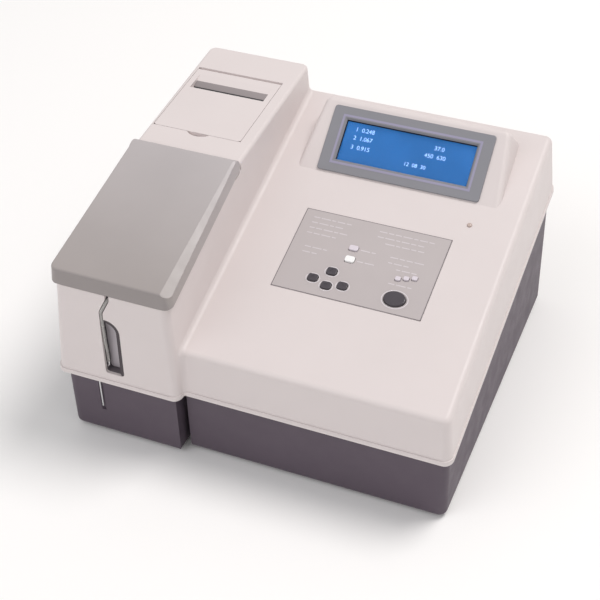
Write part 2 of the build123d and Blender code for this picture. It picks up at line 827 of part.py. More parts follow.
def fan_slots():
    """The slots of the fan's grille, cut through the base's rear wall."""
    disc = rod((fan_x, rear_face_y - 10, fan_z), (fan_x, rear_face_y + 5, fan_z), fan_bore - 2)
    slots = []
    for step in range(-5, 6):
        z = fan_z + step * slot_pitch
        for side in (-1, 1):
            x0, x1 = sorted((fan_x + side * slot_bar / 2, fan_x + side * fan_size / 2))
            slots.append(slab(x0, x1, rear_face_y - 10, rear_face_y + 5,
                              z - slot_width / 2, z + slot_width / 2) & disc)
    return slots


def base_cuts():
    """Everything cut out of the base's walls and floor."""
    low, high = rear_face_y - 10, rear_face_y + 5
    cuts = fan_slots()
    for x, width, height in ((entry_x, entry_width, entry_height),
                             (rocker_x, rocker_width + 2, rocker_height + 4),
                             (serial_x, serial_width, serial_height)):
        cuts.append(slab(x - width / 2, x + width / 2, low, high, entry_z - height / 2,
                         entry_z + height / 2))
    half = waste_well_width / 2
    cuts.append(slab(waste_x - half, waste_x + half, waste_face_y, high, waste_z - half, waste_z + half))
    cuts.append(rod((waste_x, waste_inner_y - 1, waste_z), (waste_x, high, waste_z), waste_thread + 0.2))
    cuts.append(rod((needle_x, needle_y, needle_tip_z - 6), (needle_x, needle_y, recess_top_z),
                    flute_diameter))
    for x, y in foot_places:
        cuts.append(rod((x, y, 0), (x, y, 20), foot_stem + 0.3))
    for step in range(8):
        x = supply_x0 + 10 + step * 9
        cuts.append(slab(x - 1.5, x + 1.5, supply_y0 + 10, supply_y1 - 10, 0, 20))
    for x, y, side in boss_places:
        cuts.append(rod((x, y, 0), (x, y, seam_z(y) - screw_seat), screw_head_diameter + 0.8))
        cuts.append(rod((x, y, 0), (x, y, above_z), screw_diameter + 0.3))
    return cuts


def make_base_tray():
    """The dark lower casing with its floor, bosses, board posts and rear cut-outs."""
    body = extrude(Pos(0, 0, foot_height) * base_outline(), 200)
    body = fillet(body.edges().group_by(Axis.Z)[0], base_edge_radius)
    outer = trim(body, flipped(seam))
    body = trim(body, flipped(moved(seam, -clearance)))
    body = body - extrude(Pos(0, 0, floor_z) * base_outline(wall), 200)
    for x, y, side in boss_places:
        boss = rod((x, y, foot_height + 1), (x, y, 250), boss_diameter + 1)
        body = body + (boss & outer)
    for x, y in board_posts:
        body = body + rod((x, y, floor_z - 1), (x, y, board_z), post_diameter)
    half = waste_well_width / 2 + wall
    body = body + slab(waste_x - half, waste_x + half, waste_inner_y, base_inner_y + 1, waste_z - half,
                       waste_z + half)
    for cut in base_cuts():
        body = body - cut
    return body


def make_feet():
    """Four rubber feet, each pushed into the floor by a stem with a bulb."""
    feet = []
    for x, y in foot_places:
        pad = rod((x, y, 0), (x, y, foot_height), foot_diameter)
        pad = chamfer(pad.edges().group_by(Axis.Z)[0], 0.8)
        stem = rod((x, y, foot_height - 0.5), (x, y, floor_z + 2), foot_stem)
        bulb = rod((x, y, floor_z), (x, y, floor_z + 1.5), foot_stem + 1.5)
        feet.append(pad + stem + bulb)
    return feet


def make_cover_screws():
    """The casing screws, driven from below through the base's bosses."""
    screws = []
    for x, y, side in boss_places:
        seat = seam_z(y) - screw_seat
        head = rod((x, y, seat - screw_head_height), (x, y, seat), screw_head_diameter)
        head = chamfer(head.edges().group_by(Axis.Z)[0], 0.6)
        socket = extrude(Pos(x, y, seat - screw_head_height) * RegularPolygon(1.7, 6), 1.8)
        shank = rod((x, y, seat - 0.5), (x, y, seam_z(y) + screw_reach), screw_diameter)
        screws.append(head + shank - socket)
    return screws


# Sample bay and aspirator


def make_bay_tray():
    """The liner of the sample bay, hanging by its flange on the cover's rim."""
    block = slab(bay_left_x, bay_right_x, bay_front_y, bay_rear_y, bay_floor_z - tray_wall, above_z)
    edge = slab(bay_left_x - bay_flange, bay_right_x + bay_flange, bay_front_y - bay_flange,
                bay_rear_y + bay_flange, bay_floor_z, above_z)
    edge = fillet(edge.edges().filter_by(Axis.Z), bay_flange)
    tray = trim(block, module_rim) + between(edge, moved(module_rim, -flange_thickness),
                                             flipped(module_rim))
    hollow = slab(bay_left_x + tray_wall, bay_right_x - tray_wall, bay_front_y + tray_wall,
                  bay_rear_y - tray_wall, bay_floor_z, above_z)
    tray = tray - fillet(hollow.edges().filter_by(Axis.Z), 4)
    low, high = bay_floor_z - zone_lap, bay_floor_z + zone_lap
    tray = tray - rod((pump_x, pump_y, low), (pump_x, pump_y, high), pump_shaft + 1)
    stem = cell_width / 2 + clearance
    tray = tray - slab(cell_x - stem, cell_x + stem, beam_y - stem, beam_y + stem, low, high)
    tray = tray - rod((tube_top_x, bay_front_y - 5, tube_top_z), (tube_top_x, bay_front_y + 5, tube_top_z),
                      tube_diameter + 0.8)
    drain = (pump_x - tube_orbit, drain_y)
    return tray - rod((*drain, low), (*drain, high), pump_tube_diameter + 0.8)


def make_recess_liner():
    """The pocket behind the recess in the cover, with the bearings of its trigger."""
    inner = moved(module_front, wall)
    pocket = trim(toward_rear(recess_outline(liner_wall), front_y, liner_rear_y), inner)
    rim = toward_rear(recess_outline(liner_wall + 3), front_y, liner_rear_y)
    channel = Pos(recess_left_x + 6, tube_top_z - 13) * Rectangle(20, 30)
    channel = toward_rear(channel, front_y, liner_rear_y)
    rim = between(rim + channel, inner, flipped(moved(module_front, wall + 1.6)))
    liner = pocket + rim
    liner = liner - toward_rear(recess_outline(), front_y - groove_cut, liner_rear_y - liner_wall)
    liner = liner - rod((tube_top_x, front_y, tube_top_z), (tube_top_x, liner_rear_y - 1.5, tube_top_z),
                        tube_diameter + 0.8)
    liner = liner - along(needle_route(), needle_diameter + 0.6)
    liner = liner - rod((switch_x, liner_rear_y - 5, switch_z), (switch_x, liner_rear_y + 1, switch_z), 2.8)
    return liner - rod((pin_left_x, pin_y, pin_z), (pin_right_x, pin_y, pin_z), paddle_pin + 0.04)


def make_aspirate_trigger():
    """The plate behind the needle that is pushed back to draw a sample."""
    back_y = trigger_front_y + paddle_thickness
    blade = toward_rear(recess_outline(-trigger_gap), trigger_front_y, back_y)
    blade = fillet(blade.edges().group_by(Axis.Y)[0], 0.8)
    hub_x0, hub_x1 = recess_left_x + 2, recess_left_x + 11
    hub = rod((hub_x0, pin_y, pin_z), (hub_x1, pin_y, pin_z), trigger_hub)
    arm = slab(hub_x0, hub_x1, back_y - 0.5, pin_y, pin_z - trigger_hub / 2, pin_z + trigger_hub / 2)
    bore = rod((pin_left_x - 1, pin_y, pin_z), (pin_right_x + 1, pin_y, pin_z), paddle_pin + 0.1)
    return blade + hub + arm - bore


def make_trigger_pin():
    """The steel pin that the trigger swings on."""
    return rod((pin_left_x, pin_y, pin_z), (pin_right_x, pin_y, pin_z), paddle_pin)


def make_trigger_spring():
    """The small coil spring that pushes the trigger forward."""
    rest_y = trigger_front_y + paddle_thickness
    room = liner_rear_y - liner_wall - rest_y
    coil = Helix(pitch=(room - spring_wire) / spring_turns, height=room - spring_wire, radius=spring_radius)
    section = Plane(origin=coil @ 0, z_dir=coil % 0) * Circle(spring_wire / 2)
    spring = sweep(section, coil, is_frenet=True)
    return Pos(spring_x, rest_y + spring_wire / 2, spring_z) * Rot(-90, 0, 0) * spring


def make_trigger_switch():
    """The microswitch behind the liner, with its plunger through the liner's wall."""
    body = slab(switch_x - 10, switch_x + 10, liner_rear_y, liner_rear_y + 6.5, switch_z - 7, switch_z + 5)
    plunger = rod((switch_x, liner_rear_y - 3.1, switch_z), (switch_x, liner_rear_y + 1, switch_z), 2.2)
    legs = [slab(switch_x + x - 1, switch_x + x + 1, liner_rear_y + 3, liner_rear_y + 3.5,
                 switch_z - 11, switch_z - 6) for x in (-7, 0, 7)]
    body = fillet(body.edges().filter_by(Axis.Y), 0.8)
    return body + plunger + legs


def make_sample_needle():
    """The fixed steel needle, with its bends up to the foot of the recess."""
    return along(needle_route(), needle_diameter, needle_diameter - 0.8)


def make_sample_tube():
    """The soft tube from the needle, through the groove and over to the flow cell."""
    route = FilletPolyline((cell_x - nipple_spread, beam_y, cap_top_z + 0.6),
                           (cell_x - nipple_spread, beam_y, tube_top_z),
                           (cell_x - nipple_spread, tube_cross_y, tube_top_z),
                           (tube_top_x, tube_cross_y, tube_top_z),
                           (tube_top_x, tube_line_y, tube_top_z),
                           (tube_left_x, tube_line_y, tube_fork_z),
                           (tube_left_x, tube_line_y, needle_top_z + 16),
                           (needle_top_x, needle_top_y, needle_top_z + 4),
                           (needle_top_x, needle_top_y, needle_top_z - 8), radius=4)
    return along(route, tube_diameter, tube_bore)


def make_pump_housing():
    """The pump head: a block with the curved track that the tube is pressed on."""
    half = pump_size / 2
    block = slab(pump_x - half, pump_x + half, pump_y - half, pump_y + half, bay_floor_z,
                 bay_floor_z + pump_height)
    block = fillet(block.edges().filter_by(Axis.Z), 3)
    block = chamfer(block.edges().group_by(Axis.Z)[-1], 0.8)
    track = rod((pump_x, pump_y, pump_deck_z), (pump_x, pump_y, 200), 2 * pump_track_radius)
    way = slab(pump_x - pump_track_radius, pump_x + pump_track_radius, pump_y - half - 1, pump_y,
               pump_deck_z, 200)
    bore = rod((pump_x, pump_y, 100), (pump_x, pump_y, 200), pump_shaft + 0.1)
    return block - track - way - bore


def roller_places():
    """The plan places of the pump's rollers around its shaft."""
    places = []
    for count in range(pump_rollers):
        angle = radians(90 + 360 * count / pump_rollers)
        places.append((pump_x + roller_orbit * cos(angle), pump_y + roller_orbit * sin(angle)))
    return places


def make_pump_rotor():
    """The rotor: two plates with three roller pins between them, on a shaft."""
    low = pump_deck_z + 0.5
    high = bay_floor_z + pump_height - 1
    plate_low = rod((pump_x, pump_y, low), (pump_x, pump_y, low + 2), 2 * rotor_radius)
    plate_high = rod((pump_x, pump_y, high - 2), (pump_x, pump_y, high), 2 * rotor_radius)
    rotor = plate_low + plate_high
    rotor = rotor + rod((pump_x, pump_y, pump_motor_top - 10), (pump_x, pump_y, high + 2), pump_shaft)
    for x, y in roller_places():
        rotor = rotor + rod((x, y, low + 1), (x, y, high - 1), roller_pin)
    return rotor


def make_pump_roller(count):
    """One free-turning roller of the pump."""
    x, y = roller_places()[count]
    low = pump_deck_z + 2.7
    high = bay_floor_z + pump_height - 3.2
    return pipe((x, y, low), (x, y, high), pump_roller_diameter, roller_pin + 0.1)


def make_pump_tube():
    """The tube from the flow cell, around the pump's track and down to the waste fitting."""
    z = pump_deck_z + (pump_height - 5) / 2
    right, left = pump_x + tube_orbit, pump_x - tube_orbit
    start_x = cell_x + nipple_spread
    inlet = FilletPolyline((start_x, beam_y, cap_top_z + 0.6), (start_x, beam_y, tube_bridge_z),
                           (start_x, drain_y - 2, tube_bridge_z), (right, drain_y - 2, tube_bridge_z),
                           (right, drain_y - 2, z), (right, pump_y, z), radius=5)
    around = ThreePointArc((right, pump_y, z), (pump_x, pump_y + tube_orbit, z), (left, pump_y, z))
    outlet = FilletPolyline((left, pump_y, z), (left, drain_y, z), (left, drain_y, waste_run_z),
                            (waste_run_x, drain_y + 30, waste_run_z),
                            (waste_run_x, waste_inner_y - 96.5, waste_run_z),
                            (waste_x, waste_inner_y - 28.5, waste_z),
                            (waste_x, waste_inner_y - 3.6, waste_z), radius=5)
    return along(Wire(inlet.edges() + around.edges() + outlet.edges()), pump_tube_diameter,
                 pump_tube_bore)


def make_pump_motor():
    """The geared motor hanging under the bay's floor."""
    low = pump_motor_top - pump_motor_length
    can = rod((pump_x, pump_y, low), (pump_x, pump_y, pump_motor_top), pump_motor_diameter)
    can = fillet(can.edges().group_by(Axis.Z)[0], 2)
    boss = rod((pump_x, pump_y, low - 3), (pump_x, pump_y, low + 1), 10)
    tabs = [slab(pump_x + s - 1, pump_x + s + 1, pump_y - 8, pump_y - 7.4, low - 5, low + 1) for s in (-4, 4)]
    return can + boss + tabs - rod((pump_x, pump_y, pump_motor_top - 12), (pump_x, pump_y, 200),
                                   pump_shaft + 0.1)


# Optics


def beam_hole(x0, x1, diameter):
    """A hole along the light path."""
    return rod((x0, beam_y, beam_z), (x1, beam_y, beam_z), diameter)


def make_flow_cell():
    """The flow cell: a cap with two nipples and a stem with windows on the light path."""
    half = cell_width / 2
    cap = rod((cell_x, beam_y, bay_floor_z), (cell_x, beam_y, cap_top_z), cell_cap)
    cap = fillet(cap.edges().group_by(Axis.Z)[-1], 1.5)
    stem = slab(cell_x - half, cell_x + half, beam_y - half, beam_y + half, beam_z - 12, bay_floor_z + 1)
    cell = cap + stem
    for side in (-1, 1):
        x = cell_x + side * nipple_spread
        cell = cell + rod((x, beam_y, cap_top_z - 1), (x, beam_y, cap_top_z + 6), pump_tube_bore - 0.1)
    return cell - beam_hole(cell_x - 20, cell_x - half + 3, 6) - beam_hole(cell_x + half - 3, cell_x + 20, 6)


def make_optics_bench():
    """The folded bench that carries the lamp, the filter wheel and the detector."""
    x0, x1, y0, y1 = bench_span
    bench = slab(x0, x1, y0, y1, bench_z, bench_z + bench_thickness)
    bench = fillet(bench.edges().filter_by(Axis.Z), 3)
    for x in (x0 + 6, x1 - 6):
        for y in (y0 + 6, y1 - 6):
            bench = bench + rod((x, y, floor_z), (x, y, bench_z + 1), post_diameter)
    slot = slab(filter_wheel_x - 4, filter_wheel_x + 4, beam_y - 16, beam_y + 16, bench_z - 2, 60)
    return bench - slot


def make_lamp_house():
    """The lamp's housing with its cooling fins and lens tube."""
    x0, x1 = lamp_span
    top = beam_z + 14
    house = slab(x0, x1, beam_y - 12, beam_y + 12, bench_top_z, top)
    house = house - slab(x0 + 2, x1 - 2, beam_y - 10, beam_y + 10, bench_top_z + 3, top - 2)
    house = house + pipe((x1 - 1, beam_y, beam_z), (x1 + 8, beam_y, beam_z), 16, 10)
    for step in range(4):
        z = bench_top_z + 12 + step * 9
        house = house - slab(x0 + 4, x1 - 4, beam_y - 13, beam_y + 13, z, z + 4)
    house = house - beam_hole(x1 - 5, x1 + 1, 10)
    lamp = rod((x0 + 13, beam_y, bench_top_z + 2), (x0 + 13, beam_y, beam_z - 6), 9)
    bulb = Pos(x0 + 13, beam_y, beam_z) * Sphere(5)
    neck = rod((x0 + 13, beam_y, beam_z - 7), (x0 + 13, beam_y, beam_z), 5)
    lens = rod((x1 + 3, beam_y, beam_z), (x1 + 5, beam_y, beam_z), 11)
    return house + (lamp + bulb + neck) + lens


def make_filter_wheel():
    """The wheel with its ring of filters, on a short shaft."""
    low, high = filter_wheel_x - 1.5, filter_wheel_x + 1.5
    wheel = rod((low, beam_y, wheel_z), (high, beam_y, wheel_z), 2 * filter_wheel_radius)
    wheel = wheel + rod((low - 1, beam_y, wheel_z), (high + 1.2, beam_y, wheel_z), 12)
    wheel = wheel + rod((low, beam_y, wheel_z), (filter_motor_x + 10, beam_y, wheel_z), pump_shaft)
    for count in range(filter_count):
        angle = radians(90 + 360 * count / filter_count)
        y = beam_y + filter_circle_radius * cos(angle)
        z = wheel_z + filter_circle_radius * sin(angle)
        for x0, x1 in ((low - 1, low + 0.7), (high - 0.7, high + 1)):
            wheel = wheel - rod((x0, y, z), (x1, y, z), filter_diameter)
    return wheel


def make_filter_motor():
    """The stepping motor that indexes the filter wheel, on its foot."""
    half = filter_motor_size / 2
    x0, x1 = filter_motor_x, filter_motor_x + filter_motor_length
    motor = slab(x0, x1, beam_y - half, beam_y + half, wheel_z - half, wheel_z + half)
    motor = chamfer(motor.edges().filter_by(Axis.X), 2.5)
    foot = slab(x0 + 1, x1 - 1, beam_y - half, beam_y + half, bench_top_z, wheel_z - half + 4)
    return motor + foot - rod((x0 - 1, beam_y, wheel_z), (x0 + 11, beam_y, wheel_z), pump_shaft + 0.1)


def make_light_detector():
    """The detector's housing at the end of the light path."""
    x0, x1 = detector_span
    body = slab(x0, x1, beam_y - 12, beam_y + 12, bench_top_z, beam_z + 12)
    body = fillet(body.edges().filter_by(Axis.Z), 2)
    return body - beam_hole(x0 - 1, x0 + 8, 8)


# Screen


def make_screen_bezel():
    """The grey frame around the window, with a bevelled opening."""
    frame = extrude(screen_plane * Rectangle(bezel_width, bezel_height), bezel_proud)
    frame = fillet(frame.edges().filter_by(lambda e: e.length < bezel_proud + 0.01), 3)
    top = frame.faces().sort_by(lambda f: (f.center() - screen_face).dot(screen_normal))[-1]
    frame = fillet(top.edges(), 0.8)
    opening = screen_plane * Rectangle(window_width, window_height)
    frame = frame - extrude(opening, bezel_proud + 1)
    mouth = screen_plane.offset(bezel_proud) * Rectangle(window_width + 3, window_height + 3)
    bevel = loft([screen_plane.offset(0.5) * Rectangle(window_width, window_height), mouth])
    return frame - bevel


def make_screen_window():
    """The clear window set in the pod's face behind the bezel."""
    size = Rectangle(window_width + 2 * window_lap, window_height + 2 * window_lap)
    return extrude(screen_plane.offset(-window_thickness) * size, window_thickness)


def make_lcd_module():
    """The display module: metal frame, glass and its circuit board."""
    face = screen_plane.offset(-wall)
    frame = extrude(face.offset(-lcd_thickness) * Rectangle(*lcd_size), lcd_thickness)
    frame = frame - extrude(face.offset(-0.8) * Rectangle(window_width, window_height), 5)
    board = extrude(face.offset(-lcd_thickness - 1.6) * Rectangle(lcd_size[0] + 4, lcd_size[1] - 2), 1.6)
    chips = [extrude(face.offset(-lcd_thickness - 3.2) * Pos(x, 0) * Rectangle(16, 12), 1.6)
             for x in (-45, 0, 45)]
    return frame + board + chips


# Keypad


def key_outline(width, height, shape):
    """The outline of a key's cap."""
    if shape == "oval":
        return Ellipse(width / 2, height / 2)
    return RectangleRounded(width, height, min(width, height) * 0.3)


def make_keypad_panel():
    """The keypad's front panel, with a hole for each key."""
    sink = keypad_thickness - keypad_proud
    panel = extrude(keypad_plane.offset(-sink) * RectangleRounded(keypad_width, keypad_height, 2),
                    keypad_thickness)
    panel = fillet(panel.faces().sort_by(Axis.Z)[-1].edges(), 0.3)
    for name, x, y, width, height, shape in keys:
        hole = key_outline(width + 2 * key_gap, height + 2 * key_gap, shape)
        panel = panel - extrude(deck_plane(x, y, -5) * hole, 10)
    return panel


def make_keypad_board():
    """The keypad's circuit board with a push switch under each key."""
    size = Rectangle(keypad_width - 1, keypad_height - 1)
    board = extrude(keypad_plane.offset(-board_depth - 1.6) * size, 1.6)
    for name, x, y, width, height, shape in keys:
        board = board + extrude(deck_plane(x, y, -board_depth) * Rectangle(4.4, 4.4), 1.4)
        board = board + extrude(deck_plane(x, y, -board_depth) * Circle(1.2), switch_button)
    return board


def make_key(x, y, width, height, shape, name):
    """One key: cap, flange under the panel and a stem towards its switch."""
    rise = key_height + (0.8 if shape == "oval" else 0)
    under = keypad_thickness - keypad_proud + 0.05
    cap = extrude(deck_plane(x, y, -under) * key_outline(width, height, shape), under + keypad_proud + rise)
    top = cap.faces().sort_by(lambda f: f.center().dot(deck_normal))[-1]
    cap = fillet(top.edges(), 1.2 if shape == "oval" else 0.5)
    flange = key_outline(width + 2 * key_lip, height + 2 * key_lip, shape)
    cap = cap + extrude(deck_plane(x, y, -under - key_flange) * flange, key_flange)
    rest = board_depth - switch_button - key_travel - 0.2
    cap = cap + extrude(deck_plane(x, y, -rest) * Circle(1.6), rest - under - key_flange + 0.5)
    if name in arrow_turns:
        mark = Rot(0, 0, arrow_turns[name]) * RegularPolygon(2.2, 3)
        cap = cap - extrude(deck_plane(x, y, keypad_proud + rise - 0.3) * mark, 5)
    return cap


def make_indicator_lamp():
    """The small lamp on the deck."""
    body = extrude(deck_plane(lamp_x, lamp_y, -6) * Circle(lamp_diameter / 2), 6 + 1.6)
    top = body.faces().sort_by(lambda f: f.center().dot(deck_normal))[-1]
    body = fillet(top.edges(), 1.4)
    return body + extrude(deck_plane(lamp_x, lamp_y, -wall - 1.2) * Circle(lamp_diameter / 2 + 1), 1.2)


# Printer


def make_printer_tub():
    """The printer's tub under the flap, with seats for the roll and the platen."""
    x0, x1 = flap_left_x + ledge_width + clearance, flap_right_x - ledge_width - clearance
    y0 = flap_front_y + ledge_width + clearance
    y1 = flap_hinge_y - flap_thickness - 1.5 - clearance
    box = slab(x0, x1, y0, y1, tub_floor_z - tub_wall, above_z)
    grip = slab(x0 - 4, x1 + 4, y0 - 4, y1 + 4, tub_floor_z, above_z)
    grip = between(grip, moved(printer_top, ledge_depth), flipped(moved(printer_top, ledge_depth + 2)))
    tub = trim(box, moved(printer_top, flap_thickness + 1)) + grip
    tub = tub - slab(x0 + tub_wall, x1 - tub_wall, y0 + tub_wall, y1 - tub_wall, tub_floor_z, above_z)
    under_well = slab(x0 - 1, x1 + 1, slot_y - 5, y1 - 5, tub_floor_z, above_z)
    tub = tub - trim(under_well, flipped(moved(printer_top, flap_thickness + 5)))
    cheek = slab(cheek_x, cheek_x + tub_wall, platen_y - 7, platen_y + 7, tub_floor_z - 0.5, platen_z + 4)
    tub = tub + cheek
    tub = tub - rod((cheek_x - 1, platen_y, platen_z), (x1 - 0.8, platen_y, platen_z), platen_shaft + 0.1)
    seat = rod((x0 + 0.8, roll_axis_y, roll_z), (x1 - 0.8, roll_axis_y, roll_z), journal + 0.1)
    slot = slab(x0 + 0.8, x1 - 0.8, roll_axis_y - journal / 2 - 0.05, roll_axis_y + journal / 2 + 0.05,
                roll_z, above_z)
    return tub - seat - slot


def make_printer_flap():
    """The hinged flap over the printer, with its sunken slot for the paper."""
    sheet_block = slab(flap_left_x, flap_right_x, flap_front_y, flap_hinge_y, tub_floor_z, above_z)
    sheet_block = fillet(sheet_block.edges().filter_by(Axis.Z).group_by(Axis.Y)[0], 3)
    flap = between(sheet_block, printer_top, flipped(moved(printer_top, flap_thickness)))
    barrel = rod((flap_left_x, flap_hinge_y, flap_hinge_z), (flap_right_x, flap_hinge_y, flap_hinge_z),
                 2 * flap_thickness)
    flap = trim(flap + barrel, printer_top)
    well = slab(recess_span[0] - 1.8, recess_span[1] + 1.8, slot_y - 4, well_rear_y - 8, tub_floor_z, above_z)
    flap = flap + between(well, moved(printer_top, 1), flipped(moved(printer_top, flap_thickness + 4)))
    z = printer_z(slot_y)
    wedge = Polyline((slot_y - 1, z + 3), (slot_y - 1, z - 5), (well_rear_y, printer_z(well_rear_y)),
                     (well_rear_y, z + 3), close=True)
    wedge = Plane(origin=(recess_span[0], 0, 0), x_dir=(0, 1, 0), z_dir=(1, 0, 0)) * make_face(wedge)
    flap = flap - extrude(wedge, recess_span[1] - recess_span[0])
    slot = slab(paper_middle_x - paper_width / 2 - 2, paper_middle_x + paper_width / 2 + 2,
                slot_y - 0.6, slot_y + 1.6, tub_floor_z, above_z)
    flap = flap - slot
    for x0, x1 in flap_pin_spans:
        flap = flap - rod((x0 - 1, flap_hinge_y, flap_hinge_z), (x1 + 1, flap_hinge_y, flap_hinge_z),
                          flap_hinge_pin + 0.1)
    return flap


def make_flap_hinge_pins():
    """Two steel pins that the printer flap swings on."""
    return [rod((x0, flap_hinge_y, flap_hinge_z), (x1, flap_hinge_y, flap_hinge_z), flap_hinge_pin)
            for x0, x1 in flap_pin_spans]


def paper_ends():
    """The two sides of the paper roll."""
    return paper_middle_x - paper_width / 2, paper_middle_x + paper_width / 2


def make_paper_roll():
    """The roll of printer paper on its core."""
    x0, x1 = paper_ends()
    roll = pipe((x0, roll_axis_y, roll_z), (x1, roll_axis_y, roll_z), paper_roll_diameter,
                spindle_diameter + 0.16)
    for side in (x0, x1):
        inward = 1 if side == x0 else -1
        ring = pipe((side, roll_axis_y, roll_z), (side + inward * 0.4, roll_axis_y, roll_z),
                    paper_core_diameter + 1, paper_core_diameter)
        roll = roll - ring
    return roll


def make_paper_spindle():
    """The spindle that the paper roll turns on, resting in the tub's side seats."""
    x0, x1 = flap_left_x + ledge_width + clearance + 1, flap_right_x - ledge_width - clearance - 1
    bar = rod((x0 + tub_wall, roll_axis_y, roll_z), (x1 - tub_wall, roll_axis_y, roll_z), spindle_diameter)
    bar = bar + rod((x0, roll_axis_y, roll_z), (x1, roll_axis_y, roll_z), journal)
    left, right = paper_ends()
    return bar + rod((left - 3, roll_axis_y, roll_z), (left - 0.5, roll_axis_y, roll_z), paper_core_diameter)


def gear_outline(teeth, turn=0.0):
    """The outline of a spur gear with involute flanks."""
    pitch = gear_module * teeth / 2
    base = pitch * cos(radians(20))
    tip = pitch + gear_module * 0.9
    root = pitch - gear_module * 1.15
    half_tooth = pi / (2 * teeth) - 0.012 + (tan(radians(20)) - radians(20))
    points = []
    for tooth in range(teeth):
        middle = 2 * pi * tooth / teeth + turn
        rising = []
        for radius in (max(base, root), (base + tip) / 2, tip):
            roll = acos(min(base / radius, 1))
            rising.append((radius, half_tooth - (tan(roll) - roll)))
        flank = [(root, rising[0][1])] + rising if root < base else rising
        for radius, angle in flank:
            points.append((radius * cos(middle - angle), radius * sin(middle - angle)))
        for radius, angle in reversed(flank):
            points.append((radius * cos(middle + angle), radius * sin(middle + angle)))
    return make_face(Polyline(*points, close=True))


def gear(teeth, y, z, turn=0.0):
    """A spur gear of the printer's drive, square to X."""
    place = Plane(origin=(gear_x, y, z), x_dir=(0, 1, 0), z_dir=(1, 0, 0))
    return extrude(place * gear_outline(teeth, turn), gear_width)


def make_platen_roller():
    """The rubber platen on its shaft, with the driven gear."""
    left, right = paper_ends()
    inner_x = flap_right_x - ledge_width - clearance
    roller = rod((left - 0.5, platen_y, platen_z), (right + 0.5, platen_y, platen_z), platen_diameter)
    shaft = rod((gear_x, platen_y, platen_z), (inner_x - 1, platen_y, platen_z), platen_shaft)
    return roller + shaft + gear(platen_teeth, platen_y, platen_z)


def make_motor_pinion():
    """The pinion on the printer motor's shaft."""
    pinion = gear(pinion_teeth, platen_y, pinion_z, pi / 2 + pi / pinion_teeth)
    return pinion + rod((gear_x - 6, platen_y, pinion_z), (gear_x + 1, platen_y, pinion_z), motor_shaft)


def make_printer_motor():
    """The printer's stepping motor on the tub's left wall."""
    x0 = flap_left_x + ledge_width + clearance + tub_wall
    motor = rod((x0, platen_y, pinion_z), (gear_x - 1, platen_y, pinion_z), 15)
    motor = motor + slab(gear_x - 1.6, gear_x - 0.8, platen_y - 9.5, platen_y + 9.5, pinion_z - 3,
                         pinion_z + 3)
    return motor - rod((gear_x - 8, platen_y, pinion_z), (gear_x, platen_y, pinion_z), motor_shaft + 0.1)


def make_print_head():
    """The thermal print head in front of the platen, on its bracket."""
    left, right = paper_ends()
    face_y = platen_y - platen_diameter / 2 - 0.1
    head = slab(left, right, face_y - 1.4, face_y, platen_z - 8, platen_z + 4)
    sink = slab(left, right, face_y - 4, face_y - 1.4, platen_z - 10, platen_z + 3)
    posts = [slab(x - 3, x + 3, face_y - 4, face_y - 1.4, tub_floor_z, platen_z - 9)
             for x in (left + 6, right - 6)]
    foot = slab(left + 3, right - 3, face_y - 12, face_y - 1.4, tub_floor_z, tub_floor_z + 1.5)
    return head + sink + posts + foot


# Electronics and the rear


def make_main_board():
    """The main circuit board with its larger components."""
    board = slab(-board_width / 2, board_width / 2, -board_length / 2, board_length / 2, 0, board_thickness)
    for x, y, width, depth, height in board_parts:
        board = board + slab(x - width / 2, x + width / 2, y - depth / 2, y + depth / 2, 1,
                             board_thickness + height)
    for x, y in capacitor_places:
        board = board + rod((x, y, 1), (x, y, capacitor_height), capacitor_diameter)
    return Pos(board_middle_x, board_middle_y, board_z) * board


def make_power_supply():
    """The power supply in its vented cage, on short legs."""
    case = slab(supply_x0, supply_x1, supply_y0, supply_y1, floor_z + 4, supply_top_z)
    case = chamfer(case.edges().filter_by(Axis.Z), 1)
    for step in range(7):
        x = supply_x0 + 12 + step * 10
        case = case - slab(x - 2, x + 2, supply_y0 + 14, supply_y1 - 14, supply_top_z - 1.2, supply_top_z + 1)
    for x in (supply_x0 + 6, supply_x1 - 6):
        for y in (supply_y0 + 6, supply_y1 - 6):
            case = case + rod((x, y, floor_z), (x, y, floor_z + 5), post_diameter)
    return case


def make_fan_frame():
    """The cooling fan's frame, with its hub on three arms."""
    half = fan_size / 2
    rear = base_inner_y
    front = rear - fan_depth
    frame = slab(fan_x - half, fan_x + half, front, rear, fan_z - half, fan_z + half)
    frame = fillet(frame.edges().filter_by(Axis.Y), 3)
    frame = frame - rod((fan_x, front - 1, fan_z), (fan_x, rear + 1, fan_z), fan_bore)
    for sx in (-1, 1):
        for sz in (-1, 1):
            x, z = fan_x + sx * 25, fan_z + sz * 25
            frame = frame - rod((x, front - 1, z), (x, rear + 1, z), 4.3)
    hub = rod((fan_x, front, fan_z), (fan_x, front + 2.5, fan_z), fan_hub)
    for count in range(3):
        arm = slab(-1.5, 1.5, 0, 2.5, fan_hub / 2 - 1, fan_bore / 2 + 1)
        hub = hub + Pos(fan_x, front, fan_z) * Rot(0, 120 * count + 30, 0) * arm
    return frame + hub - rod((fan_x, front - 1, fan_z), (fan_x, rear, fan_z), 3.1)


